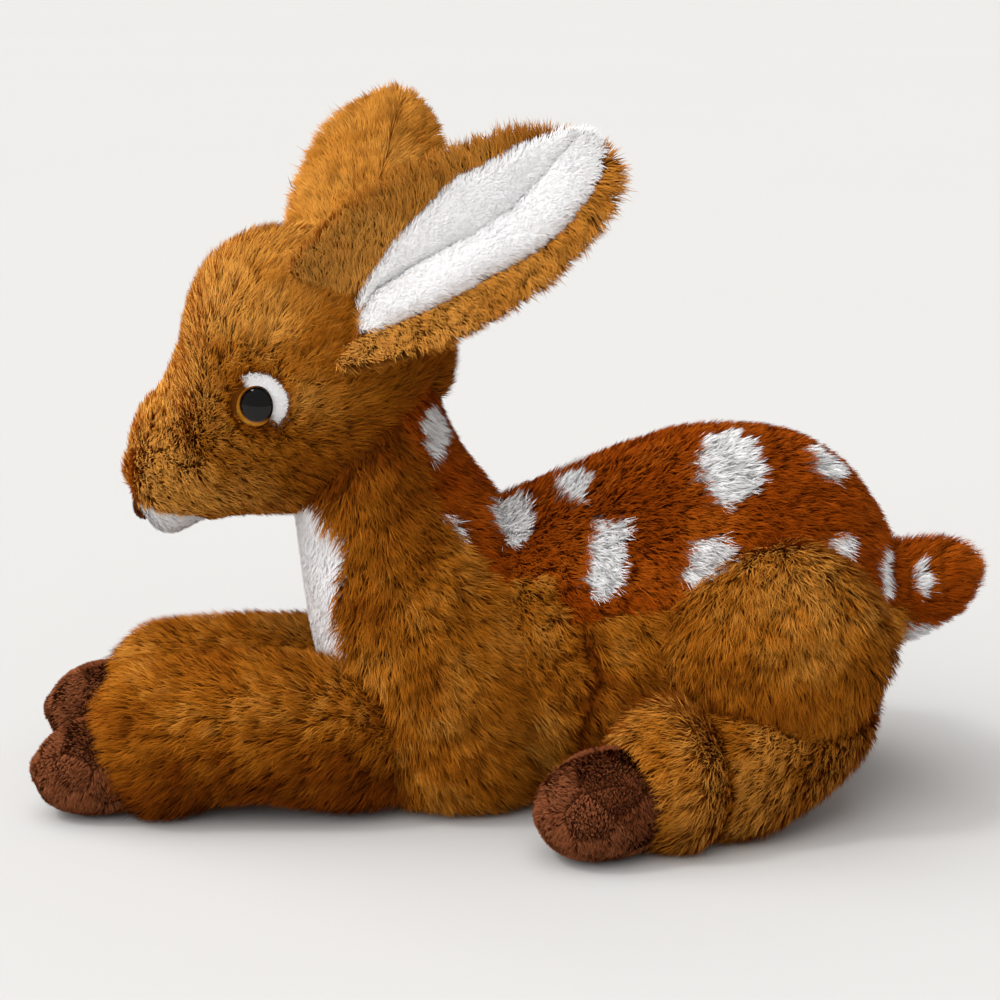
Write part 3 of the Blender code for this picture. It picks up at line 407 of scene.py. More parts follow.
def comb(name, node, body, slot, roots, normals, flow, shade, length, width, seed, lean=(24.0, 64.0),
         tuft=4.6, pull=0.42, spread=16.0, frizz=0.2, round_off=0.5, twisted=60, grain=0.12):
    """Strands of pile as tapering ribbons, with lengths in mm. A strand leaves its root at the first lean off
    the normal and bends to the second, towards the flow turned by a random yaw. Its points are pulled to the
    middle of its tuft and less so of its larger lock, more near the tip, and the ribbon is twisted about its
    own run. Its shading normal is the skin's, tilted away from the middle of its tuft, so each tuft looks
    round and soft. The shade is each strand's dye lot, in places with painted light and shade added, or a
    seed for lots that are drawn evenly."""
    rng = np.random.default_rng(seed)
    count = len(roots)
    if isinstance(shade, int):
        shade = np.random.default_rng(shade).random(count)
    flow = along_skin(flow, normals)
    side = np.cross(normals, flow)
    centres, number = tuft_of(roots, tuft * MM, seed)
    yaw = np.radians((rng.normal(0, 1, count) + (number - 0.5) * 1.8) * spread)[:, None]
    flow = flow * np.cos(yaw) + side * np.sin(yaw)
    length = length * MM * rng.uniform(0.8, 1.1, count) * (0.8 + 0.4 * drift(roots, LOCK, seed + 3))
    gather = centres - roots
    gather -= np.sum(gather * normals, axis=1)[:, None] * normals
    wide = tuft_of(roots, LOCK, seed + 5)[0] - roots
    wide -= np.sum(wide * normals, axis=1)[:, None] * normals
    soft = normals - round_off * (gather / (tuft * MM / 2) + 0.7 * wide / (LOCK / 2))
    soft += rng.normal(0, grain, (count, 3))
    soft /= np.linalg.norm(soft, axis=1)[:, None]
    gather = gather * pull + wide * pull * 0.3
    line = [roots - normals * BACKING_SINK]
    for step in range(SEGMENTS):
        bend = lean[0] + (lean[1] - lean[0]) * (step + 0.5) / SEGMENTS
        angle = np.radians(bend + rng.normal(0, 5, count))[:, None]
        run = (normals * np.cos(angle) + flow * np.sin(angle)) * (length / SEGMENTS)[:, None]
        line.append(line[-1] + run)
    shares = np.linspace(0, 1, SEGMENTS + 1)
    for at, share in enumerate(shares):
        line[at] = line[at] + gather * share**1.4 + rng.normal(0, frizz * MM, (count, 3)) * share
        line[at][:, 2] = np.maximum(line[at][:, 2], PILE_FLOOR * (0.8 + 0.6 * share))
    twist = np.radians(rng.uniform(-twisted, twisted, count))[:, None]
    half = width * MM / 2 * rng.uniform(0.8, 1.2, count)[:, None]
    taper = np.interp(shares, (0, 0.4, 0.75, 1), (1.0, 1.05, 0.75, 0.0))
    points, uvs, pattern = [], [], []
    for at in range(SEGMENTS):
        run = line[at + 1] - line[max(at - 1, 0)]
        run /= np.linalg.norm(run, axis=1)[:, None] + 1e-12
        flat = np.cross(run, normals)
        flat /= np.linalg.norm(flat, axis=1)[:, None] + 1e-9
        flat = flat * np.cos(twist) + np.cross(run, flat) * np.sin(twist)
        points += [line[at] - flat * half * taper[at], line[at] + flat * half * taper[at]]
        uvs += [shares[at]] * 2
        if at:
            pattern += [(2 * at - 2, 2 * at - 1, 2 * at + 1), (2 * at - 2, 2 * at + 1, 2 * at)]
    points.append(line[-1])
    uvs.append(1.0)
    pattern.append((2 * SEGMENTS - 2, 2 * SEGMENTS - 1, 2 * SEGMENTS))
    per = len(points)
    points = np.stack(points, axis=1).reshape(-1, 3)
    points[:, 2] = np.maximum(points[:, 2], PILE_FLOOR / 2)
    faces = (np.arange(count)[:, None, None] * per + np.array(pattern)[None]).reshape(-1, 3)
    piece = put_mesh(name, points, faces, PILES[slot])
    lay_out(piece, faces, np.stack((np.repeat(shade, per), np.tile(uvs, count)), axis=1))
    shading = piece.data.attributes.new("custom_normal", "FLOAT_VECTOR", "POINT")
    shading.data.foreach_set("vector", np.repeat(soft, per, axis=0).astype(np.float32).ravel())
    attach(piece, body)
    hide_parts(node)


def ramped(tree, source, stops):
    """A colour ramp over a source socket, with its stops as (place, hex colour)."""
    tone = add(tree, "ValToRGB", [(0, source)])
    elements = tone.color_ramp.elements
    while len(elements) < len(stops):
        elements.new(0.5)
    for element, (place, colour) in zip(elements, stops):
        element.position, element.color = place, linear(colour)
    return tone.outputs[0]


def pile_look(name, roots, tips):
    """Plush pile: u, a strand's dye lot with painted light and shade added in places, picks its colour from a
    ramp for roots and one for tips. From root to tip the first gives way to the second with v to the power
    of 0.6."""
    look, tree, shader = new_material(name)
    split = add(tree, "SeparateXYZ", [(0, add(tree, "UVMap", uv_map="OFBake").outputs[0])])
    root, tip = (ramped(tree, split.outputs[0], stops) for stops in (roots, tips))
    height = add(tree, "Math", [(0, split.outputs[1])], operation="POWER", inputs={1: 0.6})
    blend = add(tree, "Mix", [(0, height.outputs[0]), (6, root), (7, tip)], data_type="RGBA")
    tree.links.new(blend.outputs[2], shader.inputs["Base Color"])
    shader.inputs["Roughness"].default_value = 0.8
    shader.inputs["Specular IOR Level"].default_value = 0.03
    return look


# Dyed polyester pile: matt strands with darker roots and paler tips. Over TINT_END the ramps turn to white.
PILES = {
    "tawny_plush": pile_look(
        "tawny_polyester_pile",
        ((0.0, "#4C1E03"), (0.3, "#743406"), (TINT_END, "#94490C"), (0.76, "#E4E0DC"), (1.0, "#F4F1EE")),
        ((0.0, "#8A4409"), (0.3, "#BC701A"), (TINT_END, "#E8A548"), (0.76, "#F6F5F4"), (1.0, "#FDFDFE")),
    ),
    "red_brown_plush": pile_look(
        "red_brown_polyester_pile",
        ((0.0, "#521C02"), (0.3, "#682603"), (TINT_END, "#803204"), (0.76, "#F0EEEC"), (1.0, "#F8F6F4")),
        ((0.0, "#8C3A04"), (0.3, "#AE4E08"), (TINT_END, "#CC6C1A"), (0.76, "#FCFCFC"), (1.0, "#FEFEFE")),
    ),
    "white_plush": pile_look(
        "white_polyester_pile",
        ((0.0, "#ECEAE9"), (0.5, "#F2F1F0"), (1.0, "#F6F5F5")),
        ((0.0, "#F9F9FA"), (0.5, "#FCFCFD"), (1.0, "#FEFEFF")),
    ),
}

# The back's side seam as (x, z), the bib's half width over height as (z, y), and where bib and belly end.
BACK_SEAM = np.array((
    (-0.22, 1.40), (-0.14, 1.08), (-0.06, 0.83), (0.07, 0.63), (0.20, 0.66), (0.24, 0.55), (0.44, 0.60),
    (0.62, 0.60), (0.80, 0.57), (1.10, 0.52),
)) * BARREL_SIZE[:2]
BIB_EDGE = np.array(((28, 20), (50, 36), (66, 39), (76, 35), (91, 37), (104, 38), (114, 30), (120, 0))) * MM
BIB_REAR, BELLY_TOP = -40 * MM, 6 * MM

# Spots in mm: (x, height as seen, half width, half height, slant in degrees). The camera sees a height as
# 0.974 of z less 0.225 of the distance from the middle. A spot is dyed where its strands are rooted, so it
# starts a lead before the place where their tips show, and it ends short of the top of the back.
SPOTS = (
    (-6.9, 131.8, 3.9, 9.0, 0), (-1.9, 94.2, 4.5, 9.9, 14), (20.0, 100.6, 7.2, 13.4, 16),
    (43.0, 111.8, 6.3, 9.0, 20), (57.0, 125.4, 4.3, 3.2, 0), (55.5, 86.3, 6.6, 14.3, -14),
    (99.6, 116.8, 10.8, 12.9, 0), (91.7, 82.7, 8.6, 10.4, -22), (135.1, 121.8, 5.7, 9.3, 20),
    (138.7, 90.6, 5.0, 3.6, 0), (157.0, 80.6, 2.7, 9.0, 0), (18.0, 134.0, 6.0, 4.0, 0),
    (74.0, 140.0, 7.0, 5.0, 0),
)
SEEN_OF_Z, SEEN_OF_Y = 0.974, 0.225
SPOT_LEAD, SPOT_GAP = (3.2, -1.2), 5 * MM

# The barrel folds where the shoulder ends, along a line of x over height, given as (z, x).
FOLD = np.array(((38.0, 42.6), (58.6, 49.3), (97.0, 34.8))) * MM


def seam_wave(points, depth=1.5):
    """How far the long pile reaches over a seam, in metres: smooth noise on tufts of 6 mm, about zero."""
    return (drift(points, 6 * MM, 31) - 0.5) * 2 * depth * MM


def on_back(points):
    """The back panel: above its side seam, a line of height over length."""
    return points[:, 2] + seam_wave(points) > np.interp(points[:, 0], BACK_SEAM[:, 0], BACK_SEAM[:, 1])


def on_bib(points):
    """The bib: in front of its rear edge, and nearer the middle than its half width at that height."""
    half = np.interp(points[:, 2], BIB_EDGE[:, 0], BIB_EDGE[:, 1], left=0.0, right=0.0)
    return (points[:, 0] < BIB_REAR) & (np.abs(points[:, 1]) < half)


def on_spot(points):
    """White spots: slanted ellipses in the side view, with an edge that wanders by a tuft's width."""
    height = points[:, 2] * SEEN_OF_Z - np.abs(points[:, 1]) * SEEN_OF_Y
    ragged = (drift(points, 3.5 * MM, 17) - 0.5) * 0.55 + (drift(points, 1.4 * MM, 19) - 0.5) * 0.3
    white = np.zeros(len(points), dtype=bool)
    for x, h, half_x, half_h, slant in SPOTS:
        cos, sin = math.cos(math.radians(slant)), math.sin(math.radians(slant))
        across, up = points[:, 0] / MM - x + SPOT_LEAD[0], height / MM - h + SPOT_LEAD[1]
        a, b = (across * cos + up * sin) / half_x, (up * cos - across * sin) / half_h
        white |= a**2 + b**2 < (1 + ragged) ** 2
    return white & (np.abs(points[:, 1]) > SPOT_GAP * (1 + ragged))


def in_fold(points):
    """From 0 to 1: a bell curve, 3.5 mm wide, about the fold in the barrel, and none above or below it."""
    off = points[:, 0] - np.interp(points[:, 2], FOLD[:, 0], FOLD[:, 1])
    ends = np.interp(points[:, 2], (24 * MM, 38 * MM, 92 * MM, 104 * MM), (0, 1, 1, 0))
    return np.exp(-((off / (3.5 * MM)) ** 2)) * ends


def by_form(points, forms, reach):
    """From 0 to 1: the share of three reaches, up to the whole one, within which a form comes near."""
    near = [[inside(form, points, -reach * part) for form in forms] for part in (0.33, 0.67, 1.0)]
    return np.mean(np.any(near, axis=1), axis=0)


def body_dye(points):
    """The dye of the body's cloth: white under the bib and the spots, and red-brown under the back."""
    dye = np.where(on_back(points), np.where(on_spot(points), WHITE, RED_BROWN), TAWNY)
    return np.where(on_bib(points) & (dye == TAWNY), WHITE, dye)


def shade_of(points, seed, low=0.0):
    """A strand's dye lot: half smooth drift over 14 mm, and the rest its tuft's and its own."""
    _, number = tuft_of(points, 4.5 * MM, seed)
    own = np.random.default_rng(seed + 1).random(len(points))
    lot = 0.55 * drift(points, 14 * MM, seed) + 0.3 * number + 0.25 * own - 0.05
    return low + (TINT_END - low) * np.clip(lot, 0, 1)


def body_flow(points):
    """Down the neck and chest, then back along the barrel and a little down."""
    share = np.clip((points[:, 0] + 30 * MM) / (60 * MM), 0, 1)[:, None]
    return (1 - share) * np.array((0.30, 0.0, -0.95)) + share * np.array((0.88, 0.0, -0.48))


# The forms that touch the body hide its pile, so they are laid out here. Those of the legs are mirrored.
THIGH_SIZE, THIGH_AT = (79 * MM, 66 * MM, 50 * MM), (112 * MM, -46 * MM, 38 * MM)
THIGH_RIBS = (
    (-0.47, 0.52, -0.45, 0.32, 0.14), (-0.37, 0.74, -0.34, 0.08, 0.35), (-0.15, 0.93, -0.10, -0.05, 0.50),
    (0.12, 0.99, 0.16, -0.10, 0.50), (0.36, 0.84, 0.38, 0.02, 0.38), (0.48, 0.60, 0.48, 0.26, 0.16),
)
FORELEG_SIZE, FORELEG_AT = (118 * MM, 56 * MM, 46 * MM), (-24 * MM, -35 * MM, -0.5 * MM)
FORELEG_RIBS = (
    (0, 0.86, 0, 0.16, 0.30), (-0.18, 0.99, -0.18, 0.12, 0.46), (-0.46, 1.02, -0.46, 0.17, 0.50),
    (-0.66, 0.98, -0.62, 0.11, 0.49), (-0.80, 0.94, -0.73, 0.05, 0.47), (-0.87, 0.80, -0.785, 0.10, 0.36),
)
FAR_LEG_SHARE = (1.03, 0.91, 1.0)
FOOT_SIZE, FOOT_AT = (100 * MM, 56 * MM, 50 * MM), (134 * MM, -34 * MM, -0.5 * MM)
FOOT_TURN = math.radians(30)
FOOT_RIBS = (
    (0.14, 0.88, 0.12, 0.60, 0.16), (0.03, 1.00, 0.02, 0.36, 0.40), (-0.18, 1.01, -0.20, 0.15, 0.49),
    (-0.40, 0.94, -0.42, 0.03, 0.48), (-0.54, 0.84, -0.56, 0.05, 0.43), (-0.67, 0.91, -0.68, 0.01, 0.48),
    (-0.78, 0.80, -0.78, 0.08, 0.38),
)
HEAD_SIZE, HEAD_AT = (120 * MM, 100 * MM, 88 * MM), (0.0, 0.0, 104 * MM)
HEAD_RIBS = (
    (-0.08, 0.66, -0.13, 0.42, 0.14), (-0.16, 0.86, -0.22, 0.22, 0.34), (-0.34, 0.99, -0.37, 0.09, 0.46),
    (-0.56, 1.03, -0.56, 0.06, 0.49), (-0.745, 0.91, -0.72, 0.03, 0.45), (-0.815, 0.67, -0.81, -0.01, 0.35),
    (-0.89, 0.49, -0.88, -0.05, 0.275), (-0.945, 0.42, -0.93, -0.045, 0.235),
    (-0.98, 0.355, -0.96, -0.01, 0.19), (-1.00, 0.285, -0.985, 0.05, 0.13),
    (-1.008, 0.225, -0.998, 0.11, 0.07),
)
HEAD = stuffed_form(HEAD_RIBS, HEAD_SIZE, HEAD_AT)
SIDES = (("left", -1), ("right", 1))


def mirrored(at, side):
    """A left-hand place for side -1, or its mirror image across the middle for side 1."""
    return (at[0], -side * at[1], at[2])


THIGHS, FORELEGS, FEET = {}, {}, {}
for name, side in SIDES:
    leg_size = np.multiply(FORELEG_SIZE, FAR_LEG_SHARE if name == "right" else 1.0)
    THIGHS[name] = stuffed_form(THIGH_RIBS, THIGH_SIZE, mirrored(THIGH_AT, side))
    FORELEGS[name] = stuffed_form(FORELEG_RIBS, leg_size, mirrored(FORELEG_AT, side))
    FEET[name] = stuffed_form(FOOT_RIBS, FOOT_SIZE, mirrored(FOOT_AT, side), -side * FOOT_TURN)
NEIGHBOURS = [HEAD] + [form for pair in (THIGHS, FORELEGS, FEET) for form in pair.values()]

backing("chest", CHEST, "torso", body_dye, 136, 120)
backing("barrel", BARREL, "torso", body_dye, 120, 120)
chest_roots = rooted(form_skin(CHEST), 2.3, 101, [BARREL] + NEIGHBOURS)
barrel_roots = rooted(form_skin(BARREL), 2.3, 102, [CHEST] + NEIGHBOURS)
points, normals = (np.concatenate(part) for part in zip(chest_roots, barrel_roots))
back = on_back(points)
bib = on_bib(points) & ~back
belly = (points[:, 2] < BELLY_TOP) & ~back & ~bib
flank = ~(back | bib | belly)
shade = shade_of(points[back], 111)
shade = np.where(on_spot(points[back]), 0.8 + shade / 3, shade)
length = np.interp(points[back, 2] / MM, (120, 150), (7.0, 4.5))
comb("back_plush", "back_panel", "torso", "red_brown_plush", points[back], normals[back],
     body_flow(points[back]), shade, length, 0.38, 112, tuft=3.6, pull=0.4, lean=(30.0, 70.0))
# Near the barrel's fold and wherever a neighbouring form comes close, the flank's pile is shorter and its
# colour darker: painted shade in the creases.
crease_shade_and_shortening = np.maximum(in_fold(points), by_form(points, NEIGHBOURS, 9 * MM))
# High on the front of the neck the colour is darker: painted shade under the head.
neck_painted_shade = np.clip((points[:, 2] - 70 * MM) / (50 * MM), 0, 1)
neck_painted_shade = neck_painted_shade * np.clip((20 * MM - points[:, 0]) / (30 * MM), 0, 1)
for name, side in SIDES:
    keep = flank & (np.sign(points[:, 1]) == side)
    shade = np.clip(shade_of(points[keep], 121) - 0.35 * crease_shade_and_shortening[keep] - 0.16 * neck_painted_shade[keep], 0, TINT_END)
    comb(name + "_flank_plush", name + "_flank_panel", "torso", "tawny_plush", points[keep], normals[keep],
         body_flow(points[keep]), shade, 9.5 * (1 - 0.55 * crease_shade_and_shortening[keep]), 0.36, 122 + side)
comb("belly_plush", "belly_panel", "torso", "tawny_plush", points[belly], normals[belly],
     body_flow(points[belly]), shade_of(points[belly], 131), 5.0, 0.36, 132)
comb("bib_plush", "bib_panel", "torso", "white_plush", points[bib], normals[bib], (0.0, 0.0, -1.0), 141, 3.0,
     0.40, 142, tuft=2.5, lean=(48.0, 82.0), pull=0.15, twisted=14, round_off=0.15, grain=0.06)

# --- Head ---
# Two side panels in tawny plush meet along the top of the head. The pile is clipped short on the muzzle and
# grows longer towards the cheeks and the crown, and it is combed back from the nose.

NOSE_AT, NOSE_HALF = np.array((-117.5, 0.0, 109.0)) * MM, np.array((3.6, 8.0, 5.0)) * MM
EYE_RADIUS, EYE_RISE, PATCH_RADIUS = 7.6 * MM, 4.4 * MM, 10.2 * MM
EYE_AIM = np.array((-0.42, -0.90, 0.09)) / np.linalg.norm((-0.42, -0.90, 0.09))
EYE_AT = np.array((-72.0, -41.5, 154.0)) * MM
PATCH_SHIFT = np.array((1.2, 0.0, 1.4)) * MM
EYE_ACROSS = np.cross((0.0, 0.0, 1.0), EYE_AIM)
EYE_ACROSS /= np.linalg.norm(EYE_ACROSS)
EYE_UP = np.cross(EYE_AIM, EYE_ACROSS)
CHIN_AT, CHIN_SLOPE, CHIN_END = (-115 * MM, 112.5 * MM), 0.24, -95 * MM


def to_left(points):
    """The points, with those of the right side mirrored to the left."""
    return points * np.where(points[:, 1:2] > 0, (1, -1, 1), (1, 1, 1))


def on_disc(points, centre, aim, radius):
    """Whether points lie within a radius of an axis, on the side of the head that the axis comes out of."""
    off = points - centre
    along = off @ aim
    return (np.linalg.norm(off - along[:, None] * aim, axis=1) < radius) & (along > -9 * MM)


def on_chin(points):
    """The white chin: below a line that falls from the nose to the corner of the mouth."""
    line = CHIN_AT[1] - CHIN_SLOPE * (points[:, 0] - CHIN_AT[0]) + seam_wave(points, 0.6)
    return (points[:, 2] < line) & (points[:, 0] < CHIN_END)


def on_patch(points):
    """The white felt behind each eye, where it shows: its disc, less what the brow and cheek cover."""
    folded = to_left(points)
    behind = (folded - EYE_AT) @ (EYE_ACROSS * 0.80 + EYE_UP * 0.60) > 0.25 * EYE_RADIUS
    return on_disc(folded, EYE_AT + PATCH_SHIFT, EYE_AIM, PATCH_RADIUS) & behind


def head_flow(points):
    """Back from the nose, up over the brow and down over the cheeks, and away from the eye all round it."""
    away = points - NOSE_AT
    away /= np.linalg.norm(away, axis=1)[:, None]
    rise = np.clip((points[:, 2] - 150 * MM) / (25 * MM), -1, 1)[:, None]
    flow = away + np.array((0.35, 0.0, 0.0)) + rise * np.array((0.0, 0.0, 0.6))
    for _, side in SIDES:
        from_eye = points - EYE_AT * (1, -side, 1)
        far = np.linalg.norm(from_eye, axis=1)[:, None]
        flow += from_eye / far * 0.5 * np.clip(1.6 - far / (11 * MM), 0, 1)
    return flow


backing("head", HEAD, "head", lambda at: np.where(on_chin(at) | on_patch(at), WHITE, TAWNY), 108, 108)
points, normals = rooted(form_skin(HEAD), 3.8, 201, [CHEST, BARREL])
eye_hole = on_disc(to_left(points), EYE_AT, EYE_AIM, EYE_RADIUS + 0.1 * MM)
patch = on_patch(points)
under_nose = np.sum(((points - NOSE_AT) / NOSE_HALF) ** 2, axis=1) < 1.1
chin = on_chin(points)
furred = ~(eye_hole | patch | under_nose | chin)
from_nose = np.linalg.norm(points - NOSE_AT, axis=1) / MM
x, z = points[:, 0] / MM, points[:, 2] / MM
face_length = np.interp(from_nose, (6, 25, 55, 95), (5.2, 6.2, 7.6, 9.0))
face_length *= np.interp(z, (104, 112), (0.7, 1.0))
# The face's colour is its dye lot with painted light and shade: lighter near the nose, up on the brow and
# where the face turns forwards to the light, and darker behind the cheeks.
face_lot_and_painted_light = shade_of(points, 211, 0.1) + np.interp(from_nose, (20, 60), (0.24, 0.0))
face_lot_and_painted_light += 0.3 * np.clip(-normals[:, 0] - 0.4, 0, 0.6)
face_lot_and_painted_light += np.interp(z, (130, 190), (0.0, 0.16)) - np.interp(x, (-60, -20), (0.0, 0.3))
# Round each eye the pile is shorter and its colour darker: painted shade in the hollow.
for _, side in SIDES:
    from_eye = np.linalg.norm(points - EYE_AT * (1, -side, 1), axis=1) / MM
    face_length *= np.interp(from_eye, (8, 20), (0.6, 1.0))
    face_lot_and_painted_light -= np.interp(from_eye, (9, 14), (0.3, 0.0))
# Low on the cheeks the colour is darker: painted shade.
face_lot_and_painted_light -= 0.16 * np.interp(from_nose, (45, 70), (0, 1)) * np.interp(z, (130, 155), (1, 0))
face_lot_and_painted_light = np.clip(face_lot_and_painted_light, 0, TINT_END)
face_pull = np.interp(from_nose, (15, 60), (0.28, 0.45))[:, None]
face_width = np.interp(from_nose, (10, 50), (0.44, 0.37))[:, None]
face_lean = [np.interp(from_nose, (15, 55), ends) for ends in ((46.0, 28.0), (74.0, 65.0))]
face_spread = np.interp(from_nose, (20, 55), (14.0, 20.0))
face_round = np.interp(from_nose, (25, 70), (0.2, 0.4))[:, None]
for name, side in SIDES:
    keep = furred & (np.sign(points[:, 1]) == side)
    comb(name + "_head_plush", name + "_head_panel", "head", "tawny_plush", points[keep], normals[keep],
         head_flow(points[keep]), face_lot_and_painted_light[keep], face_length[keep], face_width[keep], 212 + side,
         pull=face_pull[keep], lean=[ends[keep] for ends in face_lean], spread=face_spread[keep],
         round_off=face_round[keep], twisted=70)
keep = chin & ~under_nose
comb("chin_plush", "chin_panel", "head", "white_plush", points[keep], normals[keep], head_flow(points[keep]),
     221, 2.8, 0.48, 222, tuft=2.5, pull=0.1, lean=(52.0, 82.0), twisted=14, round_off=0.05, grain=0.05)
for name, side in SIDES:
    keep = patch & ~eye_hole & (np.sign(points[:, 1]) == side)
    comb(name + "_eye_patch_plush", name + "_eye_patch", "head", "white_plush", points[keep], normals[keep],
         (1.0, 0.0, -0.3), 231, 1.1, 0.6, 232 + side, tuft=2.0, pull=0.0, spread=40.0, lean=(64.0, 84.0),
         twisted=8, round_off=0.0, grain=0.03)

# --- Eyes ---
# Safety eyes: a clear acrylic dome over a painted amber iris and a large black pupil, snapped through the
# face on a stem with a washer behind it.

EYE_RINGS, EYE_SPOKES = 24, 48
PUPIL_SHARE, PUPIL_SHIFT, PUPIL_EDGE = 0.80, (0.32, 0.10), 0.62
IRIS = (
    (0.0, "#050403"), (0.60, "#080605"), (0.63, "#4A2408"), (0.70, "#B4711C"), (0.88, "#DC9F38"),
    (1.0, "#8A5213"),
)
acrylic, acrylic_tree, acrylic_shader = new_material("moulded_acrylic_eye")
eye_place = add(acrylic_tree, "UVMap", uv_map="OFBake")
eye_split = add(acrylic_tree, "SeparateXYZ", [(0, eye_place.outputs[0])])
acrylic_tree.links.new(ramped(acrylic_tree, eye_split.outputs[0], IRIS), acrylic_shader.inputs["Base Color"])
acrylic_shader.inputs["Roughness"].default_value = 0.3
acrylic_shader.inputs["Specular IOR Level"].default_value = 0.0
acrylic_shader.inputs["Coat Weight"].default_value = 0.6
acrylic_shader.inputs["Coat Roughness"].default_value = 0.02

for name, side in SIDES:
    flip = np.array((1, -side, 1))
    spokes = np.arange(EYE_SPOKES) / EYE_SPOKES * math.tau
    r, turn = np.meshgrid(np.linspace(0, 1, EYE_RINGS), spokes, indexing="ij")
    r, turn = r.ravel()[:, None], turn.ravel()[:, None]
    disc = np.sin(r * math.pi / 2) * EYE_RADIUS * (np.cos(turn) * EYE_ACROSS + np.sin(turn) * EYE_UP)
    dome = (EYE_AT + disc + np.cos(r * math.pi / 2) * EYE_RISE * EYE_AIM) * flip
    index = np.arange(EYE_RINGS * EYE_SPOKES).reshape(EYE_RINGS, EYE_SPOKES)
    rim = np.roll(index, -1, 1)
    faces = np.stack((index[:-1], index[1:], rim[1:], rim[:-1]), axis=-1).reshape(-1, 4)
    eye = put_mesh(name + "_eye_dome", dome, faces, acrylic)
    off = disc @ np.stack((EYE_ACROSS, EYE_UP), axis=1) / EYE_RADIUS - PUPIL_SHIFT
    painted = np.linalg.norm(off, axis=1) / PUPIL_SHARE * PUPIL_EDGE
    lay_out(eye, faces, np.stack((painted, turn[:, 0] / math.tau), axis=1))
    close_mesh(eye, Vector(EYE_AIM * flip))
    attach(eye, "head")
    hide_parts(name + "_eye")

# --- Nose ---
# A small stuffed button of short brown velvet, sewn over the end of the muzzle.

PILES["dark_brown_short_plush"] = pile_look(
    "dark_brown_looped_polyester_pile",
    ((0.0, "#3A1A0B"), (0.5, "#4C2410"), (1.0, "#5C2F17")),
    ((0.0, "#6C3A20"), (0.5, "#85492A"), (1.0, "#A26340")),
)


def nose_skin(u, v):
    """An ellipsoid of (u, v): u runs from pole to pole along X, and v goes round."""
    lean, turn = u * math.pi, v * math.tau
    across, up = np.sin(lean) * np.sin(turn), np.sin(lean) * np.cos(turn)
    return NOSE_AT + NOSE_HALF * np.stack((-np.cos(lean), across, up), axis=1)


clothe("nose_backing", *wrapped_grid(nose_skin, 24, 32), "head", HOOF)
points, normals = rooted(nose_skin, 7.0, 301, [HEAD])
comb("nose_plush", "nose", "head", "dark_brown_short_plush", points, normals,
     points - NOSE_AT + (0, 0, -0.004), 302, 1.5, 0.30, 303, tuft=1.0, pull=0.3, lean=(10.0, 55.0),
     frizz=0.12)

# --- Ears ---
# Each ear is a cupped leaf: tawny plush at the back, folded over the rim to the front, round a padded lining
# of short white plush. The near ear leans back along the body, and the far one has its back to the camera.

EAR_LENGTH, EAR_WIDTH, EAR_CUP, EAR_ROOT = 118 * MM, 54 * MM, 13 * MM, 7 * MM
EAR_FRONT, EAR_REAR, TIP_SHARE = 0.6 * MM, 2.4 * MM, 0.06
LOBES, PAD_EDGE, PAD_BACK, PAD_RISE = (6.5, 4.0), 0.6, 0.3, 0.9 * MM
# Each rib: how far along, half width and cup, as shares of the ear's length, width and cup.
EAR_FORM = {"rows": control_rows(np.array((
    (0, 0.34, 0.90), (0.14, 0.43, 1.00), (0.34, 0.50, 0.85), (0.58, 0.49, 0.58), (0.80, 0.39, 0.32),
    (0.94, 0.25, 0.14), (1.00, 0.12, 0.05),
)))}
# Each ear: its root in mm, where it aims and where its lining faces.
EARS = (
    ("left", (-41, -29, 187), (0.80, -0.33, 0.48), (-0.30, -0.93, 0.10)),
    ("right", (-40, 27, 190), (0.13, 0.84, 0.52), (-0.30, 0.52, -0.78)),
)
# The lining at places along the ear: its centre, half width and crease across the ear, in mm from the root. A
# low fat roll and a flatter upper lobe meet in the crease, which runs up from the root and turns upwards.
LINING = np.array((
    (4, -9, 4.0, -7), (9, -7, 6.5, -4), (17, -5, 9.0, -0.5), (37, -1.5, 14.0, 0.6), (60, 1.7, 16.8, 0.2),
    (77, 1.5, 16.5, 1.5), (90, 3, 15.0, 6.0), (104, 5, 11.0, 10.5), (111, 6.5, 8.0, 13.0),
    (116, 8, 4.0, 13.5),
))


def ear_skin(root, turn):
    """A closed leaf of (u, v): u runs from root to tip and v round the section, front half first. Across the
    ear its middle surface rises as the square of the distance from the middle, and it is thicker behind."""

    def surface(u, v):
        share = np.clip(u / (1 - TIP_SHARE), 0, 1)
        past = np.clip((u - 1) / TIP_SHARE + 1, 0, 1) * math.pi / 2
        rib = rib_at(EAR_FORM, share)
        side = np.cos(v * math.tau) * np.cos(past)
        half = rib[:, 1] * EAR_WIDTH
        along = rib[:, 0] * EAR_LENGTH - EAR_ROOT + np.sin(past) * half * 0.45
        lift = np.sin(v * math.tau) * np.cos(past)
        rise = rib[:, 2] * EAR_CUP * side**2 + lift * np.where(lift > 0, EAR_FRONT, EAR_REAR)
        return np.stack((along, side * half, rise), axis=1) @ turn + root

    return surface


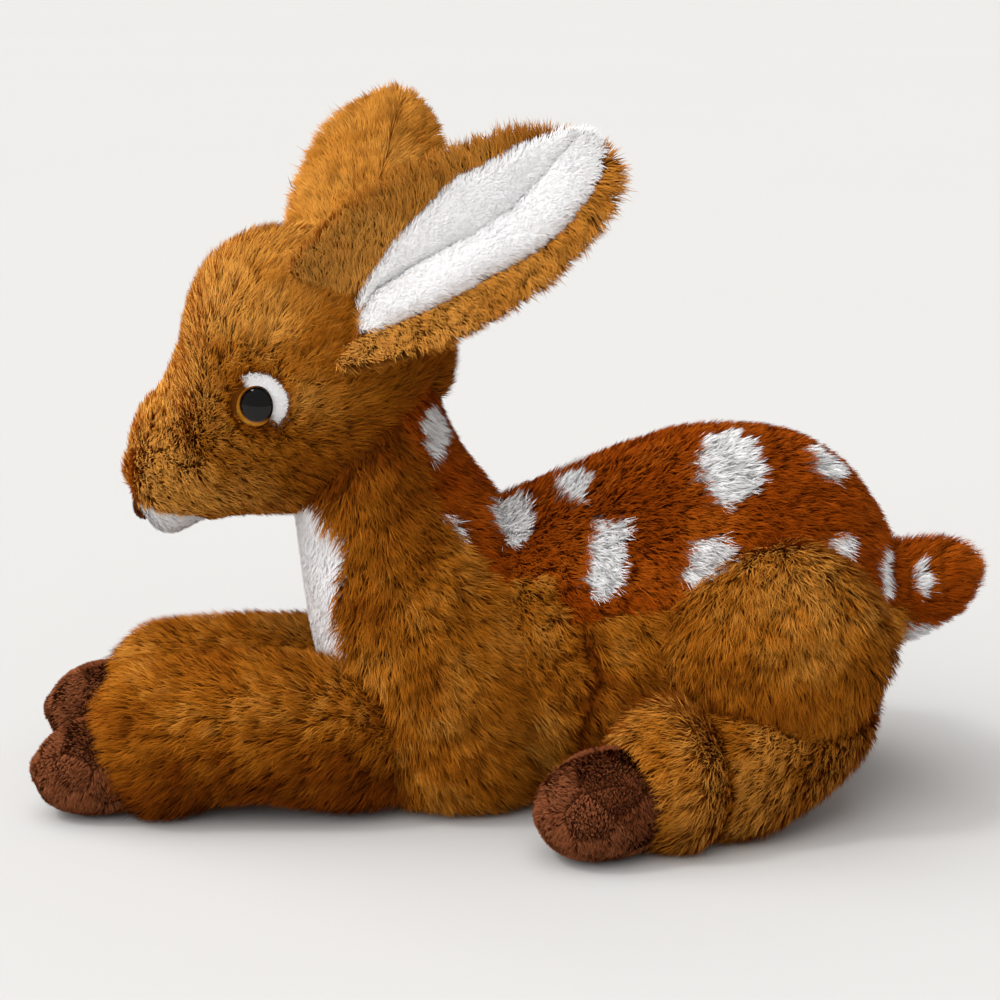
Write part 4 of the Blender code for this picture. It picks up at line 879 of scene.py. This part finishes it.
def lining_skin(root, turn):
    """The padded lining of (u, v), a closed pad: at each place along the ear two half-round lobes stand side
    by side on the ear's cupped surface, the lower up to 6.5 mm high and the upper up to 4."""

    def surface(u, v):
        along = LINING[0, 0] + (LINING[-1, 0] - LINING[0, 0]) * u
        centre, half, fold = (np.interp(along, LINING[:, 0], LINING[:, column]) for column in (1, 2, 3))
        close = np.sqrt(np.clip(1 - np.abs(2 * u - 1) ** 12, 0, 1))
        across = centre + np.cos(v * math.tau) * half * close
        lower = (across - (centre - half + fold) / 2) / np.maximum((fold - centre + half) / 2, 1)
        upper = (across - (centre + half + fold) / 2) / np.maximum((centre + half - fold) / 2, 1)
        swell = np.interp(along, (4, 20, 50, 85, 116), (0.5, 1.0, 1.0, 0.8, 0.2))
        lobes = sum(rise * np.sqrt(np.clip(1 - lobe**2, 0, 1)) for rise, lobe in zip(LOBES, (lower, upper)))
        rib = rib_at(EAR_FORM, (along + EAR_ROOT / MM) / (EAR_LENGTH / MM))
        leaf = rib[:, 2] * EAR_CUP * (across * MM / (rib[:, 1] * EAR_WIDTH)) ** 2
        front = np.sin(v * math.tau)
        lift = np.where(front > 0, (PAD_EDGE + lobes * swell) * close, PAD_BACK) * MM * np.sign(front)
        lift = lift * np.clip(np.abs(front) * 4, 0, 1)
        return np.stack((along * MM, across * MM, leaf + PAD_RISE + lift), axis=1) @ turn + root

    return surface


for name, root, aim, face in EARS:
    body = name + "_ear"
    root = np.array(root) * MM
    along = np.array(aim) / np.linalg.norm(aim)
    out = np.array(face) - np.dot(face, along) * along
    out /= np.linalg.norm(out)
    turn = np.stack((along, np.cross(out, along), out))
    leaf, pad = ear_skin(root, turn), lining_skin(root, turn)
    clothe(name + "_ear_backing", *wrapped_grid(leaf, 64, 64), body, TAWNY)
    clothe(name + "_lining_backing", *wrapped_grid(pad, 84, 84), body, WHITE)
    u, v = scatter(leaf, 3.1, 401, 200)
    points, normals = leaf(u, v), normals_of(leaf, u, v)
    side = np.cos(v * math.tau)
    fronted = np.sin(v * math.tau) > 0
    local = (points - root) @ turn.T / MM
    centre, half = (np.interp(local[:, 0], LINING[:, 0], LINING[:, column]) for column in (1, 2))
    lined = (np.abs(local[:, 1] - centre) < half - 1.0) & (local[:, 0] < 115)
    keep = ~(fronted & lined) & ~inside(HEAD, points, 1.5 * MM)
    rim = np.clip((np.abs(side) - 0.55) / 0.45, 0, 1)
    across = np.sign(side)[:, None] * turn[1]
    tip = np.clip((u - 0.75) / 0.25, 0, 1)[:, None]
    outwards = (0.25 + np.where(fronted, 1.0, 0.5) * rim)[:, None]
    flow = along * (0.55 + 0.8 * tip) + across * outwards * (1 - 0.5 * tip)
    flow = np.where(fronted[:, None], flow + across * 0.5, flow)
    length = np.where(fronted, 9.5, 7.5)
    # Near the root the front pile's colour is lighter: painted light where the ear faces down, away from the
    # light.
    shade = np.clip(shade_of(points, 411, 0.3) + 0.2 * fronted * np.clip(1.2 - 2 * u, 0, 1), 0, TINT_END)
    comb(name + "_ear_plush", name + "_ear_back", body, "tawny_plush", points[keep], normals[keep],
         flow[keep], shade[keep], length[keep], 0.38, 412, tuft=4.5, pull=0.35, lean=(46.0, 74.0),
         spread=12.0)
    u, v = scatter(pad, 5.5, 421, 200, 0.5)
    points, normals = pad(u, v), normals_of(pad, u, v)
    keep = ~inside(HEAD, points, 1.0 * MM)
    side = np.cos(v * math.tau)
    edge = np.clip((np.abs(side) - 0.7) / 0.3, 0, 1)
    flow = along * (1 - 0.3 * edge)[:, None] + turn[1] * (np.sign(side) * edge * 0.9)[:, None]
    comb(name + "_lining_plush", name + "_ear_lining", body, "white_plush", points[keep], normals[keep],
         flow[keep], 422, (2.4 + 2.2 * edge)[keep], 0.36, 423, tuft=2.6, pull=0.15, lean=(52.0, 82.0),
         twisted=20, round_off=0.12, grain=0.06)

# --- Hooves ---
# Four cups of short, dark, looped plush over a firm filling, sewn to the ends of the legs.

HOOF_RIBS = (
    (0.48, 0.74, 0.48, 0.22, 0.26), (0.26, 0.96, 0.26, 0.04, 0.45), (-0.06, 0.99, -0.06, 0.00, 0.50),
    (-0.35, 0.82, -0.36, 0.10, 0.38), (-0.49, 0.60, -0.49, 0.32, 0.17),
)
FOREHOOF_SIZE, FOREHOOF_AT = (40 * MM, 34 * MM, 33 * MM), (-135 * MM, -37 * MM, 1.5 * MM)
HINDHOOF_SIZE, HINDHOOF_AT = (49 * MM, 37 * MM, 40 * MM), (52 * MM, -80 * MM, 0.5 * MM)
FAR_HOOF_REACH = 7 * MM
HOOF_FRONT = {"fore": -150 * MM, "hind": 30 * MM}
SOLE_SEAM, SOLE_FALL = 34, 0.02
HOOVES = {}


def hoof_shade(points, front, seed):
    """Dye lots of a hoof: dark above, a paler sole under a seam that falls with the square of the distance
    back, and a dark line where the two are sewn together."""
    back = (points[:, 0] - front) / MM
    over = points[:, 2] / MM - (SOLE_SEAM - SOLE_FALL * np.clip(back, 0, 60) ** 2)
    shade = np.random.default_rng(seed).random(len(points)) * 0.5 + np.where(over < 0, 0.42, 0.1)
    return np.where(np.abs(over) < 0.7, 0.0, shade)


for name, side in SIDES:
    fore_at = np.array(mirrored(FOREHOOF_AT, side)) - (FAR_HOOF_REACH if name == "right" else 0.0, 0.0, 0.0)
    hind_at = mirrored(HINDHOOF_AT, side)
    HOOVES[name + "_fore"] = stuffed_form(HOOF_RIBS, FOREHOOF_SIZE, fore_at)
    HOOVES[name + "_hind"] = stuffed_form(HOOF_RIBS, HINDHOOF_SIZE, hind_at, -side * FOOT_TURN)
for at, (name, form) in enumerate(HOOVES.items()):
    side_name, end = name.split("_")
    body = name + ("leg" if end == "fore" else "_leg")
    leg = (FORELEGS if end == "fore" else FEET)[side_name]
    backing(name + "_hoof", form, body, lambda points: HOOF, 48, 48)
    points, normals = rooted(form_skin(form), 4.6, 501 + at, [leg])
    comb(name + "_hoof_plush", name + "_hoof", body, "dark_brown_short_plush", points, normals,
         (-0.3, 0.0, -1.0), hoof_shade(points, HOOF_FRONT[end], 510 + at), 1.9, 0.41, 520 + at, tuft=1.5,
         pull=0.4, lean=(5.0, 50.0), frizz=0.15)

# --- Forelegs ---
# Each foreleg is a stuffed tube that lies along the floor, sewn to the chest at its rear end. Its pile runs
# to the hoof.

for name, side in SIDES:
    body, form = name + "_foreleg", FORELEGS[name]
    backing(body, form, body)
    points, normals = rooted(form_skin(form), 2.3, 601, [CHEST, BARREL, HOOVES[name + "_fore"]])
    # Low down the pile's colour is darker and on top lighter: painted light and shade.
    top = np.clip((points[:, 2] - 28 * MM) / (16 * MM), -1, 1)
    shade = np.clip(shade_of(points, 611) - 0.19 + 0.18 * top, 0, TINT_END)
    comb(body + "_plush", body + "_panel", body, "tawny_plush", points, normals, (-1.0, 0.0, -0.25), shade,
         8.6, 0.35, 612 + side)

# --- Hind legs ---
# The thigh is a round stuffed lobe sewn to the flank, and the foot a stuffed tube under it that points
# forward and out. The pile falls down the thigh and runs along the foot to a cuff at the hoof.

for name, side in SIDES:
    body, thigh, foot = name + "_hind_leg", THIGHS[name], FEET[name]
    backing(name + "_thigh", thigh, body)
    backing(name + "_foot", foot, body)
    points, normals = rooted(form_skin(thigh), 2.4, 701, [CHEST, BARREL, foot])
    down = np.tile((0.0, 0.9 * side, -1.0), (len(points), 1))
    down[:, 0] = (points[:, 0] - 105 * MM) / (90 * MM)
    # On the crown the pile lies flatter and its colour is lighter: painted light on top of the thigh.
    crown = np.interp(points[:, 2] / MM, (72, 92), (0.0, 1.0))
    shade = np.clip(shade_of(points, 711) + 0.16 * crown - 0.03, 0, TINT_END)
    comb(name + "_thigh_plush", name + "_thigh_panel", body, "tawny_plush", points, normals, down, shade, 9.0,
         0.35, 712 + side, lean=(24 + 24 * crown, 64 + 12 * crown))
    points, normals = rooted(form_skin(foot), 2.3, 721, [CHEST, BARREL, thigh, HOOVES[name + "_hind"]])
    toe = (-math.cos(FOOT_TURN), side * math.sin(FOOT_TURN), -0.2)
    # Near the thigh and at the cuff the pile is shorter and its colour darker: painted shade in the creases.
    near = by_form(points, [thigh], 5 * MM)
    cuff_shade_and_shortening = np.exp(-((((points - foot["at"]) @ foot["turn"].T)[:, 0] + 55 * MM) / (3 * MM)) ** 2)
    shade = np.clip(shade_of(points, 731, 0.18) - 0.2 * near - 0.35 * cuff_shade_and_shortening, 0, TINT_END)
    comb(name + "_foot_plush", name + "_foot_panel", body, "tawny_plush", points, normals, toe, shade,
         8.8 * (1 - 0.4 * near - 0.4 * cuff_shade_and_shortening), 0.37, 732 + side, lean=(34.0, 66.0))

# --- Tail ---
# A short stuffed tail sewn to the rump: red-brown plush on top with a white spot on each side, and white
# plush underneath.

TAIL_SIZE, TAIL_AT = (47 * MM, 31 * MM, 32 * MM), (145.2 * MM, 0.0, 57.96 * MM)
TAIL_RIBS = (
    (0, 0.60, 0.02, 0.16, 0.20), (0.16, 0.84, 0.20, 0.04, 0.38), (0.38, 1.00, 0.44, 0.04, 0.48),
    (0.60, 1.06, 0.66, 0.18, 0.46), (0.80, 1.06, 0.84, 0.38, 0.34), (0.93, 0.96, 0.95, 0.62, 0.16),
)
TAIL_SEAM = (57.96 + 0.30 * 31) * MM
TAIL_SPOT_AT, TAIL_SPOT_HALF = np.array(((169.5, 82.0), (2.9, 5.0))) * MM
TAIL_FLOW = (1.0, 0.0, 0.1)
TAIL = stuffed_form(TAIL_RIBS, TAIL_SIZE, TAIL_AT)
backing("tail", TAIL, "tail", lambda at: np.where(at[:, 2] > TAIL_SEAM, RED_BROWN, WHITE), 48, 48)
points, normals = rooted(form_skin(TAIL), 3.4, 801, [BARREL])
top = points[:, 2] + seam_wave(points, 1.0) > TAIL_SEAM
spot = np.sum(((points[:, (0, 2)] - TAIL_SPOT_AT) / TAIL_SPOT_HALF) ** 2, axis=1) < 1
spot &= np.abs(points[:, 1]) > SPOT_GAP
shade = np.where(spot, 0.9, shade_of(points, 811, 0.1))
comb("tail_top_plush", "tail_top_panel", "tail", "red_brown_plush", points[top], normals[top], TAIL_FLOW,
     shade[top], 7.5, 0.34, 812, tuft=4.2, pull=0.5)
comb("tail_underside_plush", "tail_underside_panel", "tail", "white_plush", points[~top], normals[~top],
     TAIL_FLOW, 821, 6.0, 0.34, 822, tuft=3.6, pull=0.5)

# --- Inside ---
# Loose polyester fibre fills each form, a cloth pouch of plastic pellets weighs the belly down, and each eye
# has a moulded washer pressed on its stem. None of it shows.

fibre, _ = toned(
    "carded_polyester_fibre", "TexNoise", ("#D8D8D4", "#F6F6F4"), 0.95, "Object", Scale=350.0, Detail=6.0
)
pouch, _ = toned("plain_woven_cotton_pouch", "TexWave", ("#B4B4B6", "#CACACC"), 0.9, "Object", Scale=400.0)
washer, _ = toned(
    "moulded_polypropylene_washer", "TexNoise", ("#DADAD8", "#E6E6E4"), 0.45, "Object", Scale=800.0
)
FIBRE_SINK = 2.5 * MM


def filling(name, body, *forms):
    """The fibre inside one form or inside joined ones: closed shells a plush panel's thickness under them."""
    shells, faces, count = [], [], 0
    for form in forms:
        shell, around = wrapped_grid(form_skin(form), 40, 40, FIBRE_SINK)
        shells.append(shell)
        faces.append(around + count)
        count += len(shell)
    piece = put_mesh(name + "_fibre", np.concatenate(shells), np.concatenate(faces), fibre)
    close_mesh(piece)
    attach(piece, body)
    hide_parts(name + "_stuffing")


filling("body", "torso", CHEST, BARREL)
filling("head", "head", HEAD)
filling("tail", "tail", TAIL)
for name, _ in SIDES:
    filling(name + "_foreleg", name + "_foreleg", FORELEGS[name])
    filling(name + "_thigh", name + "_hind_leg", THIGHS[name])
    filling(name + "_foot", name + "_hind_leg", FEET[name])
for node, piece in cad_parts.items():
    look = pouch if node == "pellet_bag" else washer if "washer" in node else None
    if look:
        piece.data.materials.clear()
        piece.data.materials.append(look)
